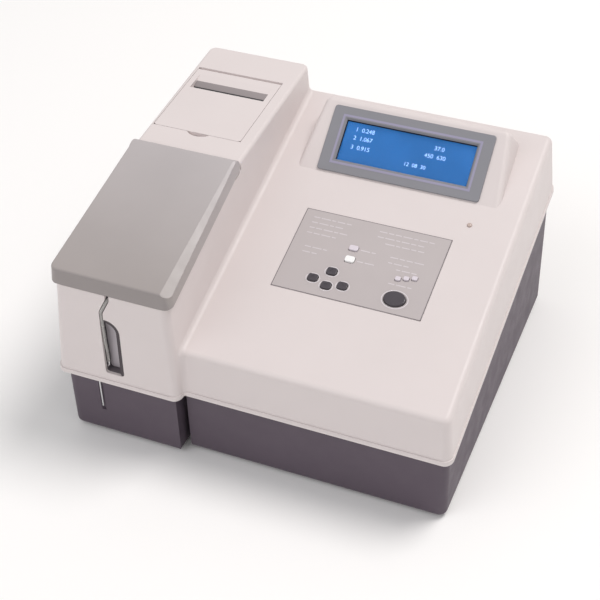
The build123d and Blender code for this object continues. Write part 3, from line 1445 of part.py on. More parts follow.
def make_fan_rotor():
    """The fan's hub with its pitched blades."""
    front = base_inner_y - fan_depth
    hub = rod((fan_x, front + 3, fan_z), (fan_x, base_inner_y - 1, fan_z), fan_hub)
    hub = fillet(hub.edges().group_by(Axis.Y)[-1], 1.5)
    reach = fan_bore / 2 - 1
    blade = Box(1.2, 12, reach - fan_hub / 2 + 1)
    blade = Pos(0, 0, (reach + fan_hub / 2 - 1) / 2) * Rot(0, 0, 50) * blade
    sweep_ring = rod((fan_x, front + 3.2, fan_z), (fan_x, base_inner_y - 1.2, fan_z), 2 * reach)
    for count in range(fan_blades):
        turned = Pos(fan_x, base_inner_y - fan_depth / 2 + 1, fan_z) * Rot(0, 360 * count / fan_blades, 0)
        hub = hub + ((turned * blade) & sweep_ring)
    return hub + rod((fan_x, front + 0.5, fan_z), (fan_x, front + 4, fan_z), 3)


def make_power_entry():
    """The mains inlet with its three pins, and the frame of the power switch."""
    face = rear_face_y
    flange = slab(entry_x - 15.5, entry_x + 15.5, face, face + 2, entry_z - 12, entry_z + 12)
    flange = fillet(flange.edges().filter_by(Axis.Y), 2)
    half_x, half_z = entry_width / 2 - 0.1, entry_height / 2 - 0.1
    body = slab(entry_x - half_x, entry_x + half_x, face - 22, face + 0.5, entry_z - half_z, entry_z + half_z)
    inlet = flange + body
    cavity = slab(entry_x - 12, entry_x + 12, face - 16, face + 3, entry_z - 8, entry_z + 8)
    cavity = chamfer(cavity.edges().filter_by(Axis.Y).group_by(Axis.Z)[0], 4)
    inlet = inlet - cavity
    for x, z in ((-7, -1.5), (7, -1.5), (0, 3)):
        inlet = inlet + slab(entry_x + x - 1, entry_x + x + 1, face - 17, face - 3, entry_z + z - 2,
                             entry_z + z + 2)
    frame = slab(rocker_x - 10.5, rocker_x + 10.5, face, face + 2, entry_z - 14.5, entry_z + 14.5)
    half_x, half_z = rocker_width / 2 + 0.9, rocker_height / 2 + 1.9
    frame = frame + slab(rocker_x - half_x, rocker_x + half_x, face - 17, face + 0.5, entry_z - half_z,
                         entry_z + half_z)
    frame = frame - slab(rocker_x - rocker_width / 2 - 0.2, rocker_x + rocker_width / 2 + 0.2, face - 12,
                         face + 3, entry_z - rocker_height / 2 - 1, entry_z + rocker_height / 2 + 1)
    axle_ends = [(rocker_x + side * half_x, rocker_axis_y, entry_z) for side in (-1, 1)]
    return inlet, frame + rod(*axle_ends, 2)


def make_power_rocker():
    """The rocker of the power switch, tipped to its off side."""
    half = rocker_height / 2 - 0.4
    shape = Polyline((-5, -4), (3, -half), (7.4, -half), (6, 0), (7.4, half), (3, half), (-5, 4), close=True)
    place = Plane(origin=(-rocker_width / 2, 0, 0), x_dir=(0, 1, 0), z_dir=(1, 0, 0))
    rocker = extrude(place * make_face(shape), rocker_width)
    rocker = rocker - Rot(0, 90, 0) * Cylinder(1.1, rocker_width + 2)
    return Pos(rocker_x, rocker_axis_y, entry_z) * Rot(-rocker_swing_deg, 0, 0) * rocker


def make_serial_port():
    """The nine-pin data socket with its two jack posts."""
    face = rear_face_y
    half_x, half_z = serial_width / 2 - 0.1, serial_height / 2 - 0.1
    port = slab(serial_x - 15.4, serial_x + 15.4, face, face + 0.8, entry_z - 6.2, entry_z + 6.2)
    port = fillet(port.edges().filter_by(Axis.Y), 1.5)
    port = port + slab(serial_x - half_x, serial_x + half_x, face - 12, face + 0.5, entry_z - half_z,
                       entry_z + half_z)
    shell = Polyline((-8.6, 4.3), (8.6, 4.3), (7.2, -4.3), (-7.2, -4.3), close=True)
    shell = Pos(serial_x, entry_z) * fillet(make_face(shell).vertices(), 1.6)
    core = Pos(serial_x, entry_z) * scale(Pos(-serial_x, -entry_z) * shell, 0.9)
    port = port + toward_rear(shell, face, face + 4.4) - toward_rear(core, face + 1, face + 5)
    for row, count in ((1.4, 5), (-1.4, 4)):
        for pin in range(count):
            x = serial_x + (pin - (count - 1) / 2) * 2.75
            port = port + rod((x, face, entry_z + row), (x, face + 4, entry_z + row), 1)
    for side in (-1, 1):
        x = serial_x + side * 12.5
        post = Plane(origin=(x, face + 0.5, entry_z), z_dir=(0, 1, 0)) * RegularPolygon(2.75, 6)
        port = port + extrude(post, 3.9)
    return port


def make_waste_fitting():
    """The waste outlet: a barbed hose tail outside and a nipple inside."""
    face = waste_face_y
    hexagon = Plane(origin=(waste_x, face, waste_z), z_dir=(0, 1, 0)) * RegularPolygon(6, 6)
    fitting = extrude(hexagon, 4)
    fitting = fitting + rod((waste_x, waste_inner_y - 3, waste_z), (waste_x, face + 0.5, waste_z),
                            waste_thread)
    fitting = fitting + rod((waste_x, face + 3, waste_z), (waste_x, face + 18, waste_z), waste_bore + 1.4)
    for step in range(3):
        tail = Plane(origin=(waste_x, face + 6 + step * 4, waste_z), z_dir=(0, 1, 0))
        fitting = fitting + extrude(tail * Circle(3.5), 3, taper=14)
    nipple = rod((waste_x, waste_inner_y - 9, waste_z), (waste_x, waste_inner_y - 2, waste_z),
                 pump_tube_bore - 0.1)
    bore = rod((waste_x, waste_inner_y - 2, waste_z), (waste_x, face + 20, waste_z), waste_bore - 0.4)
    return fitting + nipple - bore


def all_parts():
    """Every named node with the function that makes it."""
    parts = {
        "base_tray": make_base_tray, "feet": make_feet, "cover_screws": make_cover_screws,
        "top_cover": make_top_cover, "lid": make_lid, "lid_hinge_pins": make_lid_hinge_pins,
        "bay_tray": make_bay_tray, "recess_liner": make_recess_liner,
        "aspirate_trigger": make_aspirate_trigger, "trigger_pin": make_trigger_pin,
        "trigger_spring": make_trigger_spring, "trigger_switch": make_trigger_switch,
        "sample_needle": make_sample_needle, "sample_tube": make_sample_tube,
        "pump_housing": make_pump_housing, "pump_rotor": make_pump_rotor, "pump_tube": make_pump_tube,
        "pump_motor": make_pump_motor, "flow_cell": make_flow_cell, "optics_bench": make_optics_bench,
        "lamp_house": make_lamp_house, "filter_wheel": make_filter_wheel,
        "filter_motor": make_filter_motor, "light_detector": make_light_detector,
        "screen_bezel": make_screen_bezel, "screen_window": make_screen_window,
        "lcd_module": make_lcd_module, "keypad_panel": make_keypad_panel,
        "keypad_board": make_keypad_board, "indicator_lamp": make_indicator_lamp,
        "printer_tub": make_printer_tub, "printer_flap": make_printer_flap,
        "flap_hinge_pins": make_flap_hinge_pins, "paper_roll": make_paper_roll,
        "paper_spindle": make_paper_spindle, "platen_roller": make_platen_roller,
        "motor_pinion": make_motor_pinion, "printer_motor": make_printer_motor,
        "print_head": make_print_head, "main_board": make_main_board,
        "power_supply": make_power_supply, "fan_frame": make_fan_frame, "fan_rotor": make_fan_rotor,
        "power_entry": make_power_entry, "power_rocker": make_power_rocker,
        "serial_port": make_serial_port, "waste_fitting": make_waste_fitting,
    }
    made = {name: make() for name, make in parts.items()}
    for count in range(pump_rollers):
        made["pump_roller_%d" % (count + 1)] = make_pump_roller(count)
    for name, x, y, width, height, shape in keys:
        made[name] = make_key(x, y, width, height, shape, name)
    return made


if __name__ == "__main__":
    os.makedirs("parts", exist_ok=True)
    for name, made in all_parts().items():
        solids = made if isinstance(made, (list, tuple)) else made.solids()
        shape = solids[0] if len(solids) == 1 else Compound(list(solids))
        export_step(shape, "parts/%s.step" % name)
        print(name, len(solids), round(shape.volume))
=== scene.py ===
from math import atan, cos, pi, radians, sin

import bmesh
import bpy
from bpy.props import FloatProperty, FloatVectorProperty, PointerProperty
from mathutils import Matrix, Vector


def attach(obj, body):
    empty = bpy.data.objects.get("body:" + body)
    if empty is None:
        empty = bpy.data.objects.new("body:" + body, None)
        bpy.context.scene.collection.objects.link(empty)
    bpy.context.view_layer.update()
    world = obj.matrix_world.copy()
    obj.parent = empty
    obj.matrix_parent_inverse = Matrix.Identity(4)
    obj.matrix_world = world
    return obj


bl_info = {
    "name": "Immunoassay analyzer",
    "version": (1, 0, 0),
    "blender": (4, 5, 0),
    "location": "View3D > Sidebar > Analyzer",
    "description": "Dresses the packed analyzer with its finishes, screen, keypad marks and fittings",
    "category": "Object",
}

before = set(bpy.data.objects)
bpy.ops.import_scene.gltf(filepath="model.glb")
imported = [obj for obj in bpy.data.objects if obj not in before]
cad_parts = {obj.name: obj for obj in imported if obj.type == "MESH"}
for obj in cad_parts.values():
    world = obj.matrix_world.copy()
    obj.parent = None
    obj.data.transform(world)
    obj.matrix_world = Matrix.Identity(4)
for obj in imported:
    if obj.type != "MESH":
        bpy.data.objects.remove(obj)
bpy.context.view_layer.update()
MM = 0.001

# The deck, the screen face and the paper slot's floor are tilted planes: a point on each, and its slope
DECK_POINT = Vector((58.4, -24.6, 160.85)) * MM
DECK_TILT = atan(0.255)
SCREEN_POINT = Vector((58.5, 98.957, 208.404)) * MM
SCREEN_TILT = atan(0.731)
SLOT_POINT = Vector((-125.5, 100.4, 232.2)) * MM
SLOT_TILT = atan(0.2563)
# The front leans back from the joint line, and the lid reaches from the front to its hinge
FRONT_Y, SEAM_Z, FRONT_LEAN = -0.178, 0.074, 0.035
LID_FRONT_Y, LID_REAR_Y = -0.1745, -0.004
ROLL_Y, ROLL_Z = 0.062, 0.204

# The lit display lies under the window, its figures on it, and a printed border on the frame around both
DISPLAY_SIZE = Vector((0.1362, 0.0430, 0.0006))
DISPLAY_DEPTH, FIGURE_DEPTH, FIGURE_THICKNESS = 0.00545, 0.0051, 0.00008
BORDER_WIDTH, BORDER_HEIGHT, BORDER_LINE, BORDER_THICKNESS = 0.1464, 0.0532, 0.0032, 0.00012
# Text, place from the display's middle, and share of the figures' height
DISPLAY_ROWS = [("1  0.248", -0.058, 0.0125, 1.0), ("2  1.067", -0.058, 0.0035, 1.0),
                ("3  0.915", -0.058, -0.0065, 1.0), ("37.0", 0.026, 0.0095, 1.0),
                ("450  630", 0.018, 0.0005, 1.0), ("12  08  30", 0.0, -0.0125, 0.9)]

# Print on the keypad's panel, which stands proud of the deck
PANEL_PROUD, PRINT_THICKNESS = 0.0004, 0.00006
PANEL_WIDTH, PANEL_HEIGHT, PANEL_LINE = 0.1484, 0.0977, 0.0007
RING_LINE = 0.0008
ARROW_RING, ENTER_RING = (0.0142, 0.0122), (0.0262, 0.0212)
ARROW_PLACES = [(-0.0385, -0.0303), (-0.0236, -0.0186), (-0.0233, -0.0356), (-0.0081, -0.0319)]
ENTER_PLACE = (0.0440, -0.0327)
# Each row of bars in place of small print: its height on the panel, its left and its right end
LABEL_ROWS = [(0.0400, -0.064, -0.020), (0.0335, -0.064, -0.026), (0.0270, -0.064, -0.020),
              (0.0205, -0.064, -0.030), (0.0400, 0.004, 0.060), (0.0335, 0.004, 0.052),
              (0.0270, 0.014, 0.062), (0.0132, -0.006, 0.012), (0.0132, 0.024, 0.060),
              (0.0065, 0.024, 0.052), (-0.0003, -0.005, 0.013), (0.0004, 0.034, 0.060),
              (0.0040, -0.060, -0.032), (-0.0025, -0.060, -0.038), (-0.0165, 0.032, 0.060)]
LABEL_LENGTHS = (0.0062, 0.0094, 0.0041, 0.0078, 0.0052)
LABEL_HEIGHT, LABEL_GAP = 0.0012, 0.0016

# The flap's slot: a tear bar with its teeth, whose near black is partly painted shade of the slit, and
# behind it a grey sheet of painted shade on the slot's sunken floor
TEAR_BAR_SIZE, TOOTH_SIZE = Vector((0.079, 0.0034, 0.0005)), Vector((0.0012, 0.0012, 0.0004))
TOOTH_COUNT, TOOTH_PITCH, TOOTH_Y = 29, 0.002, -0.0013
SLOT_SHADE_SIZE = Vector((0.0812, 0.0086, 0.0004))
SLOT_MIDDLE_X, TEAR_BAR_Y, SLOT_SHADE_Y = -0.0085, 0.0004, 0.0066
TEAR_BAR_Z, SLOT_SHADE_Z = 0.0003, 0.0002

# The aspirator's recess and the dark strip of painted shadow just inside its swept side
RECESS_RIGHT, RECESS_LOW, RECESS_HIGH = -0.1225, 0.087, 0.152
RECESS_ARC, RECESS_CORNER, CORNER_STEPS = 0.014, 0.003, 16
SHADOW_STRIP_WIDTH, SHADOW_STRIP_DEPTH, SHADOW_STRIP_BACK, SHADOW_STRIP_PRESS, SHADOW_STRIP_LEAST_CORNER = 0.0038, 0.0012, 0.0005, 0.0001, 0.0002

# Stage: the photograph's camera and the lamps
CAMERA_EYE, CAMERA_TARGET = Vector((0.41075, -0.9747, 0.9780)), Vector((-0.0261, 0.1112, 0.0570))
CAMERA_ROLL, CAMERA_LENS, CAMERA_SENSOR = radians(-0.92), 82.4, 36.0
CAMERA_SHIFT_X, CAMERA_SHIFT_Y, CAMERA_REACH = -0.0542, -0.0895, 50.0
MAIN_PLACE, MAIN_SIZE = (1.35, 1.0, 3.75), 1.8
FILL_PLACE, FILL_SIZE = (-1.8, -3.2, 3.2), 4.0
LAMP_AIM = Vector((0, 0, 0.1))
FLOOR_SIZE = 6.0

# A colour mix node keeps its colour sockets at these places
MIX_A, MIX_B, MIX_RESULT = 6, 7, 2


def srgb(red, green, blue):
    """A colour given in screen values from 0 to 255, as linear light."""
    def channel(value):
        value = value / 255
        return value / 12.92 if value <= 0.04045 else ((value + 0.055) / 1.055) ** 2.4
    return (channel(red), channel(green), channel(blue))


# Finishes


def fresh_material(name):
    """A new node material with its Principled shader, its nodes and its links."""
    finish = bpy.data.materials.new(name)
    finish.use_nodes = True
    nodes = finish.node_tree.nodes
    return finish, nodes["Principled BSDF"], nodes, finish.node_tree.links


def object_noise(nodes, links, scale, detail=4.0, roughness=0.5):
    """A noise texture that stays with the object."""
    place = nodes.new("ShaderNodeTexCoord")
    noise = nodes.new("ShaderNodeTexNoise")
    noise.inputs["Scale"].default_value = scale
    noise.inputs["Detail"].default_value = detail
    noise.inputs["Roughness"].default_value = roughness
    links.new(place.outputs["Object"], noise.inputs["Vector"])
    return noise


def tone_ramp(nodes, links, source, low, high, start=0.35, stop=0.65):
    """Two close tones spread over a texture's values."""
    ramp = nodes.new("ShaderNodeValToRGB")
    ramp.color_ramp.elements[0].position = start
    ramp.color_ramp.elements[1].position = stop
    ramp.color_ramp.elements[0].color = (*low, 1)
    ramp.color_ramp.elements[1].color = (*high, 1)
    links.new(source, ramp.inputs["Fac"])
    return ramp.outputs["Color"]


def spread(nodes, links, source, low, high):
    """A texture's values mapped to a range."""
    mapped = nodes.new("ShaderNodeMapRange")
    mapped.inputs["From Min"].default_value = 0.3
    mapped.inputs["From Max"].default_value = 0.7
    mapped.inputs["To Min"].default_value = low
    mapped.inputs["To Max"].default_value = high
    links.new(source, mapped.inputs["Value"])
    return mapped.outputs["Result"]


def add_bump(nodes, links, shader, source, strength, distance):
    """Fine relief on a shader's surface."""
    bump = nodes.new("ShaderNodeBump")
    bump.inputs["Strength"].default_value = strength
    bump.inputs["Distance"].default_value = distance
    links.new(source, bump.inputs["Height"])
    links.new(bump.outputs["Normal"], shader.inputs["Normal"])


def moulded(name, colour, rough=0.45, grain=2600.0, relief=0.12, shade=0.94, specular=0.4):
    """Moulded plastic: a spark-eroded grain, slight clouding and uneven gloss."""
    finish, shader, nodes, links = fresh_material(name)
    cloud = object_noise(nodes, links, 9.0, 5.0)
    darker = tuple(channel * shade for channel in colour)
    tones = tone_ramp(nodes, links, cloud.outputs["Fac"], darker, colour)
    links.new(tones, shader.inputs["Base Color"])
    gloss = object_noise(nodes, links, 60.0, 3.0)
    links.new(spread(nodes, links, gloss.outputs["Fac"], rough - 0.05, rough + 0.07),
              shader.inputs["Roughness"])
    pits = object_noise(nodes, links, grain, 2.0)
    add_bump(nodes, links, shader, pits.outputs["Fac"], relief, 0.0003)
    shader.inputs["Specular IOR Level"].default_value = specular
    return finish


def paint_with_painted_shade(name, colour, front, rear):
    """Satin paint with painted shade: its colour darkens and warms from the rear to the front, most of all
    on the front band.
    """
    finish = moulded(name, colour, rough=0.4, grain=2400, relief=0.07)
    nodes, links = finish.node_tree.nodes, finish.node_tree.links
    shader = nodes["Principled BSDF"]
    tones = shader.inputs["Base Color"].links[0].from_socket
    place = nodes.new("ShaderNodeTexCoord")
    axes = nodes.new("ShaderNodeSeparateXYZ")
    links.new(place.outputs["Object"], axes.inputs["Vector"])
    depth = nodes.new("ShaderNodeMapRange")
    depth.inputs["From Min"].default_value = front
    depth.inputs["From Max"].default_value = rear
    links.new(axes.outputs["Y"], depth.inputs["Value"])
    # Painted shade: a ramp along the lid's depth multiplies the colour down towards the front, deepest on
    # the front band.
    painted_shade_ramp = nodes.new("ShaderNodeValToRGB")
    links.new(depth.outputs["Result"], painted_shade_ramp.inputs["Fac"])
    painted_shade_ramp.color_ramp.elements[0].position = 0.006
    painted_shade_ramp.color_ramp.elements[0].color = (0.64, 0.62, 0.60, 1)
    painted_shade_ramp.color_ramp.elements[1].color = (1, 1, 1, 1)
    top_front_shade = painted_shade_ramp.color_ramp.elements.new(0.018)
    top_front_shade.color = (0.78, 0.76, 0.73, 1)
    blend = nodes.new("ShaderNodeMix")
    blend.data_type = "RGBA"
    blend.blend_type = "MULTIPLY"
    blend.inputs["Factor"].default_value = 1.0
    links.new(tones, blend.inputs[MIX_A])
    links.new(painted_shade_ramp.outputs["Color"], blend.inputs[MIX_B])
    links.new(blend.outputs[MIX_RESULT], shader.inputs["Base Color"])
    return finish


def metal(name, colour, rough=0.3, stretch=(1.0, 1.0, 30.0)):
    """Machined or plated metal with fine drawn lines."""
    finish, shader, nodes, links = fresh_material(name)
    place = nodes.new("ShaderNodeTexCoord")
    scaling = nodes.new("ShaderNodeMapping")
    scaling.inputs["Scale"].default_value = stretch
    lines = nodes.new("ShaderNodeTexNoise")
    lines.inputs["Scale"].default_value = 400.0
    lines.inputs["Detail"].default_value = 3.0
    links.new(place.outputs["Object"], scaling.inputs["Vector"])
    links.new(scaling.outputs["Vector"], lines.inputs["Vector"])
    darker = tuple(channel * 0.85 for channel in colour)
    tones = tone_ramp(nodes, links, lines.outputs["Fac"], darker, colour)
    links.new(tones, shader.inputs["Base Color"])
    links.new(spread(nodes, links, lines.outputs["Fac"], rough - 0.06, rough + 0.1),
              shader.inputs["Roughness"])
    add_bump(nodes, links, shader, lines.outputs["Fac"], 0.06, 0.0002)
    shader.inputs["Metallic"].default_value = 1.0
    return finish


def clear(name, colour, rough=0.03, alpha=1.0, transmission=1.0, ior=1.46):
    """Clear glass or tubing, with faint handling marks in its gloss."""
    finish, shader, nodes, links = fresh_material(name)
    marks = object_noise(nodes, links, 45.0, 6.0)
    gloss = spread(nodes, links, marks.outputs["Fac"], rough, rough + 0.05)
    links.new(gloss, shader.inputs["Roughness"])
    shader.inputs["Base Color"].default_value = (*colour, 1)
    shader.inputs["Transmission Weight"].default_value = transmission
    shader.inputs["IOR"].default_value = ior
    shader.inputs["Alpha"].default_value = alpha
    return finish


def lit_display(name, colour, strength):
    """The lit face of the display: fine rows and columns of cells under an even glow."""
    finish, shader, nodes, links = fresh_material(name)
    glow = object_noise(nodes, links, 14.0, 2.0)
    dim = tuple(channel * 0.8 for channel in colour)
    cells = nodes.new("ShaderNodeTexBrick")
    cells.offset = 0.0
    cells.inputs["Scale"].default_value = 1900.0
    cells.inputs["Mortar Size"].default_value = 0.03
    cells.inputs["Brick Width"].default_value = 1.0
    cells.inputs["Row Height"].default_value = 1.0
    place = nodes.new("ShaderNodeTexCoord")
    links.new(place.outputs["Object"], cells.inputs["Vector"])
    tones = tone_ramp(nodes, links, glow.outputs["Fac"], dim, colour)
    links.new(tones, cells.inputs["Color1"])
    links.new(tones, cells.inputs["Color2"])
    cells.inputs["Mortar"].default_value = (*(channel * 0.6 for channel in colour), 1)
    links.new(cells.outputs["Color"], shader.inputs["Base Color"])
    links.new(cells.outputs["Color"], shader.inputs["Emission Color"])
    shader.inputs["Emission Strength"].default_value = strength
    shader.inputs["Roughness"].default_value = 0.45
    shader.inputs["Specular IOR Level"].default_value = 0.15
    return finish


def circuit_board(name):
    """Green solder mask with lighter tracks under it."""
    finish, shader, nodes, links = fresh_material(name)
    place = nodes.new("ShaderNodeTexCoord")
    tracks = nodes.new("ShaderNodeTexBrick")
    tracks.inputs["Scale"].default_value = 260.0
    tracks.inputs["Mortar Size"].default_value = 0.08
    tracks.inputs["Color1"].default_value = (0.012, 0.10, 0.035, 1)
    tracks.inputs["Color2"].default_value = (0.016, 0.13, 0.045, 1)
    tracks.inputs["Mortar"].default_value = (0.03, 0.20, 0.07, 1)
    links.new(place.outputs["Object"], tracks.inputs["Vector"])
    links.new(tracks.outputs["Color"], shader.inputs["Base Color"])
    add_bump(nodes, links, shader, tracks.outputs["Fac"], 0.1, 0.0001)
    shader.inputs["Roughness"].default_value = 0.3
    return finish


def wound_paper(name):
    """White paper whose ends show the turns of the roll."""
    finish, shader, nodes, links = fresh_material(name)
    place = nodes.new("ShaderNodeTexCoord")
    centre = nodes.new("ShaderNodeMapping")
    centre.inputs["Location"].default_value = (0, -ROLL_Y, -ROLL_Z)
    centre.inputs["Scale"].default_value = (0.0, 1.0, 1.0)
    turns = nodes.new("ShaderNodeTexWave")
    turns.wave_type = "RINGS"
    turns.rings_direction = "SPHERICAL"
    turns.inputs["Scale"].default_value = 900.0
    turns.inputs["Distortion"].default_value = 0.4
    links.new(place.outputs["Object"], centre.inputs["Vector"])
    links.new(centre.outputs["Vector"], turns.inputs["Vector"])
    tones = tone_ramp(nodes, links, turns.outputs["Fac"], (0.70, 0.69, 0.66), (0.84, 0.83, 0.81), 0.1, 0.9)
    links.new(tones, shader.inputs["Base Color"])
    add_bump(nodes, links, shader, turns.outputs["Fac"], 0.15, 0.0002)
    shader.inputs["Roughness"].default_value = 0.75
    return finish


def glowing(name, colour, strength):
    """A small lit surface, a little uneven."""
    finish, shader, nodes, links = fresh_material(name)
    patch = object_noise(nodes, links, 300.0, 2.0)
    dim = tuple(channel * 0.85 for channel in colour)
    tones = tone_ramp(nodes, links, patch.outputs["Fac"], dim, colour)
    links.new(tones, shader.inputs["Base Color"])
    links.new(tones, shader.inputs["Emission Color"])
    shader.inputs["Emission Strength"].default_value = strength
    shader.inputs["Roughness"].default_value = 0.3
    return finish


# Modelling helpers


def dress(finish, *names):
    """Gives CAD nodes a finish."""
    for name in names:
        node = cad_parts[name]
        for slot in node.material_slots:
            slot.material = finish


def tilted(point, tilt):
    """A frame on a tilted plane: X to the right, Y up the slope and Z outwards."""
    return Matrix.Translation(point) @ Matrix.Rotation(tilt, 4, "X")


def new_piece(name, mesh_code, finish, body, smooth=True):
    """A new object from bmesh code, with its finish and the body that it rides on."""
    mesh = bpy.data.meshes.new(name)
    shape = bmesh.new()
    mesh_code(shape)
    bmesh.ops.recalc_face_normals(shape, faces=shape.faces)
    shape.to_mesh(mesh)
    shape.free()
    piece = bpy.data.objects.new(name, mesh)
    bpy.context.scene.collection.objects.link(piece)
    mesh.materials.append(finish)
    if smooth:
        smooth_by_angle(mesh)
    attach(piece, body)
    return piece


def smooth_by_angle(mesh):
    """Smooth faces with sharp edges where they turn by more than a third of a right angle."""
    mesh.polygons.foreach_set("use_smooth", [True] * len(mesh.polygons))
    mesh.set_sharp_from_angle(angle=radians(35))


def soft_box(shape, size, place, bevel=0.0003, segments=3):
    """A box with rounded edges, added to a bmesh."""
    made = bmesh.ops.create_cube(shape, size=1.0)
    corners = made["verts"]
    bmesh.ops.scale(shape, vec=size, verts=corners)
    edges = list({edge for corner in corners for edge in corner.link_edges})
    rounded = bmesh.ops.bevel(shape, geom=edges, offset=bevel, segments=segments, affect="EDGES",
                              profile=0.5, material=-1)
    corners = {v for v in corners if v.is_valid} | {v for face in rounded["faces"] for v in face.verts}
    bmesh.ops.transform(shape, matrix=place, verts=list(corners))


def thicken(shape, faces, thickness, place):
    """Gives flat faces a thickness and seats the closed result on a plane by its lowest point."""
    corners = {v for face in faces for v in face.verts}
    grown = bmesh.ops.solidify(shape, geom=faces, thickness=thickness)["geom"]
    corners |= {v for item in grown if isinstance(item, bmesh.types.BMFace) for v in item.verts}
    lowest = min(corner.co.z for corner in corners)
    bmesh.ops.transform(shape, matrix=place @ Matrix.Translation((0, 0, -lowest)), verts=list(corners))


def flat_ring(shape, width, height, border, thickness, place):
    """A thin rectangular frame, added to a bmesh."""
    made = bmesh.ops.create_grid(shape, x_segments=1, y_segments=1, size=0.5)
    corners = made["verts"]
    bmesh.ops.scale(shape, vec=(width, height, 1), verts=corners)
    middle = list({face for corner in corners for face in corner.link_faces})
    rim = bmesh.ops.inset_region(shape, faces=middle, thickness=border, use_boundary=True)["faces"]
    bmesh.ops.delete(shape, geom=middle, context="FACES")
    thicken(shape, rim, thickness, place)


def oval_ring(shape, width, height, border, thickness, place):
    """A thin oval ring, added to a bmesh."""
    outer = bmesh.ops.create_circle(shape, cap_ends=False, radius=0.5, segments=48)["verts"]
    inner = bmesh.ops.create_circle(shape, cap_ends=False, radius=0.5, segments=48)["verts"]
    bmesh.ops.scale(shape, vec=(width, height, 1), verts=outer)
    bmesh.ops.scale(shape, vec=(width - 2 * border, height - 2 * border, 1), verts=inner)
    loops = list({edge for corner in outer + inner for edge in corner.link_edges})
    thicken(shape, bmesh.ops.bridge_loops(shape, edges=loops)["faces"], thickness, place)


def plain_figures(shape, words, height, thickness, place):
    """Plain figures as closed letters on a plane, added to a bmesh."""
    letters = bpy.data.curves.new("figures", "FONT")
    letters.body = words
    letters.size = height
    letters.extrude = thickness / 2
    holder = bpy.data.objects.new("figures", letters)
    bpy.context.scene.collection.objects.link(holder)
    bpy.context.view_layer.update()
    drawn = bpy.data.meshes.new_from_object(holder)
    bpy.data.objects.remove(holder)
    bpy.data.curves.remove(letters)
    earlier = set(shape.verts)
    shape.from_mesh(drawn)
    bpy.data.meshes.remove(drawn)
    added = [corner for corner in shape.verts if corner not in earlier]
    bmesh.ops.remove_doubles(shape, verts=added, dist=1e-6)
    added = [corner for corner in shape.verts if corner not in earlier]
    bmesh.ops.transform(shape, matrix=place, verts=added)


# Sizes and colours


class CasingSettings(bpy.types.PropertyGroup):
    shell_colour: FloatVectorProperty(
        name="Shell", description="Colour of the white casing", subtype="COLOR", min=0, max=1,
        default=srgb(221, 212, 211))
    lid_colour: FloatVectorProperty(
        name="Lid", description="Colour of the lid over the sample bay", subtype="COLOR", min=0, max=1,
        default=srgb(186, 180, 181))
    base_colour: FloatVectorProperty(
        name="Base", description="Colour of the lower casing", subtype="COLOR", min=0, max=1,
        default=srgb(89, 78, 89))


class ScreenSettings(bpy.types.PropertyGroup):
    bezel_colour: FloatVectorProperty(
        name="Frame", description="Colour of the frame around the screen", subtype="COLOR", min=0, max=1,
        default=srgb(140, 140, 146))
    display_colour: FloatVectorProperty(
        name="Display", description="Colour of the lit display", subtype="COLOR", min=0, max=1,
        default=srgb(46, 102, 164))
    border_colour: FloatVectorProperty(
        name="Border", description="Colour of the thin border around the display", subtype="COLOR", min=0,
        max=1, default=srgb(158, 154, 178))
    text_colour: FloatVectorProperty(
        name="Figures", description="Colour of the figures on the display", subtype="COLOR", min=0, max=1,
        default=srgb(165, 205, 250))
    text_height: FloatProperty(
        name="Figure height", description="Height of the figures on the display", unit="LENGTH",
        default=0.0062, min=0.001, max=0.02)


class KeypadSettings(bpy.types.PropertyGroup):
    panel_colour: FloatVectorProperty(
        name="Panel", description="Colour of the keypad's panel", subtype="COLOR", min=0, max=1,
        default=srgb(190, 182, 182))
    dark_key_colour: FloatVectorProperty(
        name="Dark keys", description="Colour of the arrow keys and the large key", subtype="COLOR", min=0,
        max=1, default=srgb(75, 70, 76))
    line_colour: FloatVectorProperty(
        name="Edge line", description="Colour of the line around the panel", subtype="COLOR", min=0, max=1,
        default=srgb(120, 113, 118))
    label_colour: FloatVectorProperty(
        name="Labels", description="Colour of the plain bars that stand for the small print",
        subtype="COLOR", min=0, max=1, default=srgb(212, 205, 208))
    mark_colour: FloatVectorProperty(
        name="Marks", description="Colour of the rings around the keys", subtype="COLOR", min=0, max=1,
        default=srgb(226, 220, 224))
    pale_key_colour: FloatVectorProperty(
        name="Pale keys", description="Colour of the small keys", subtype="COLOR", min=0, max=1,
        default=srgb(222, 214, 222))


class StageSettings(bpy.types.PropertyGroup):
    floor_colour: FloatVectorProperty(
        name="Floor", description="Colour of the floor", subtype="COLOR", min=0, max=1,
        default=(0.96, 0.955, 0.95))
    key_power: FloatProperty(
        name="Main lamp", description="Power of the large lamp at the right", subtype="POWER",
        default=88.0, min=0.0, max=900.0)
    fill_power: FloatProperty(
        name="Fill lamp", description="Power of the soft lamp in front", subtype="POWER", default=47.0,
        min=0.0, max=900.0)
    world_strength: FloatProperty(
        name="Surroundings", description="Strength of the light from all round", default=0.52, min=0.0,
        max=2.0)


# Pieces


class ANALYZER_OT_casing(bpy.types.Operator):
    """Finishes of the white cover, the grey lid, the dark base and what holds them"""
    bl_idname = "analyzer.casing"
    bl_label = "Casing"

    def execute(self, context):
        sizes = context.scene.analyzer_casing
        shell = moulded("shell_plastic", sizes.shell_colour, rough=0.42, grain=1900, relief=0.08,
                        shade=0.975)
        dress(shell, "top_cover", "printer_flap")
        # The lid's paint has painted shade towards its front.
        dress(paint_with_painted_shade("lid_paint_painted_shade", sizes.lid_colour, LID_FRONT_Y, LID_REAR_Y), "lid")
        dress(moulded("base_plastic", sizes.base_colour, rough=0.5, grain=1500, relief=0.2, shade=0.95),
              "base_tray")
        dress(moulded("foot_rubber", srgb(40, 40, 42), rough=0.75, grain=1200, relief=0.3), "feet")
        steel = metal("bright_steel", (0.62, 0.62, 0.63), rough=0.25)
        dress(steel, "cover_screws", "lid_hinge_pins", "flap_hinge_pins")
        return {"FINISHED"}


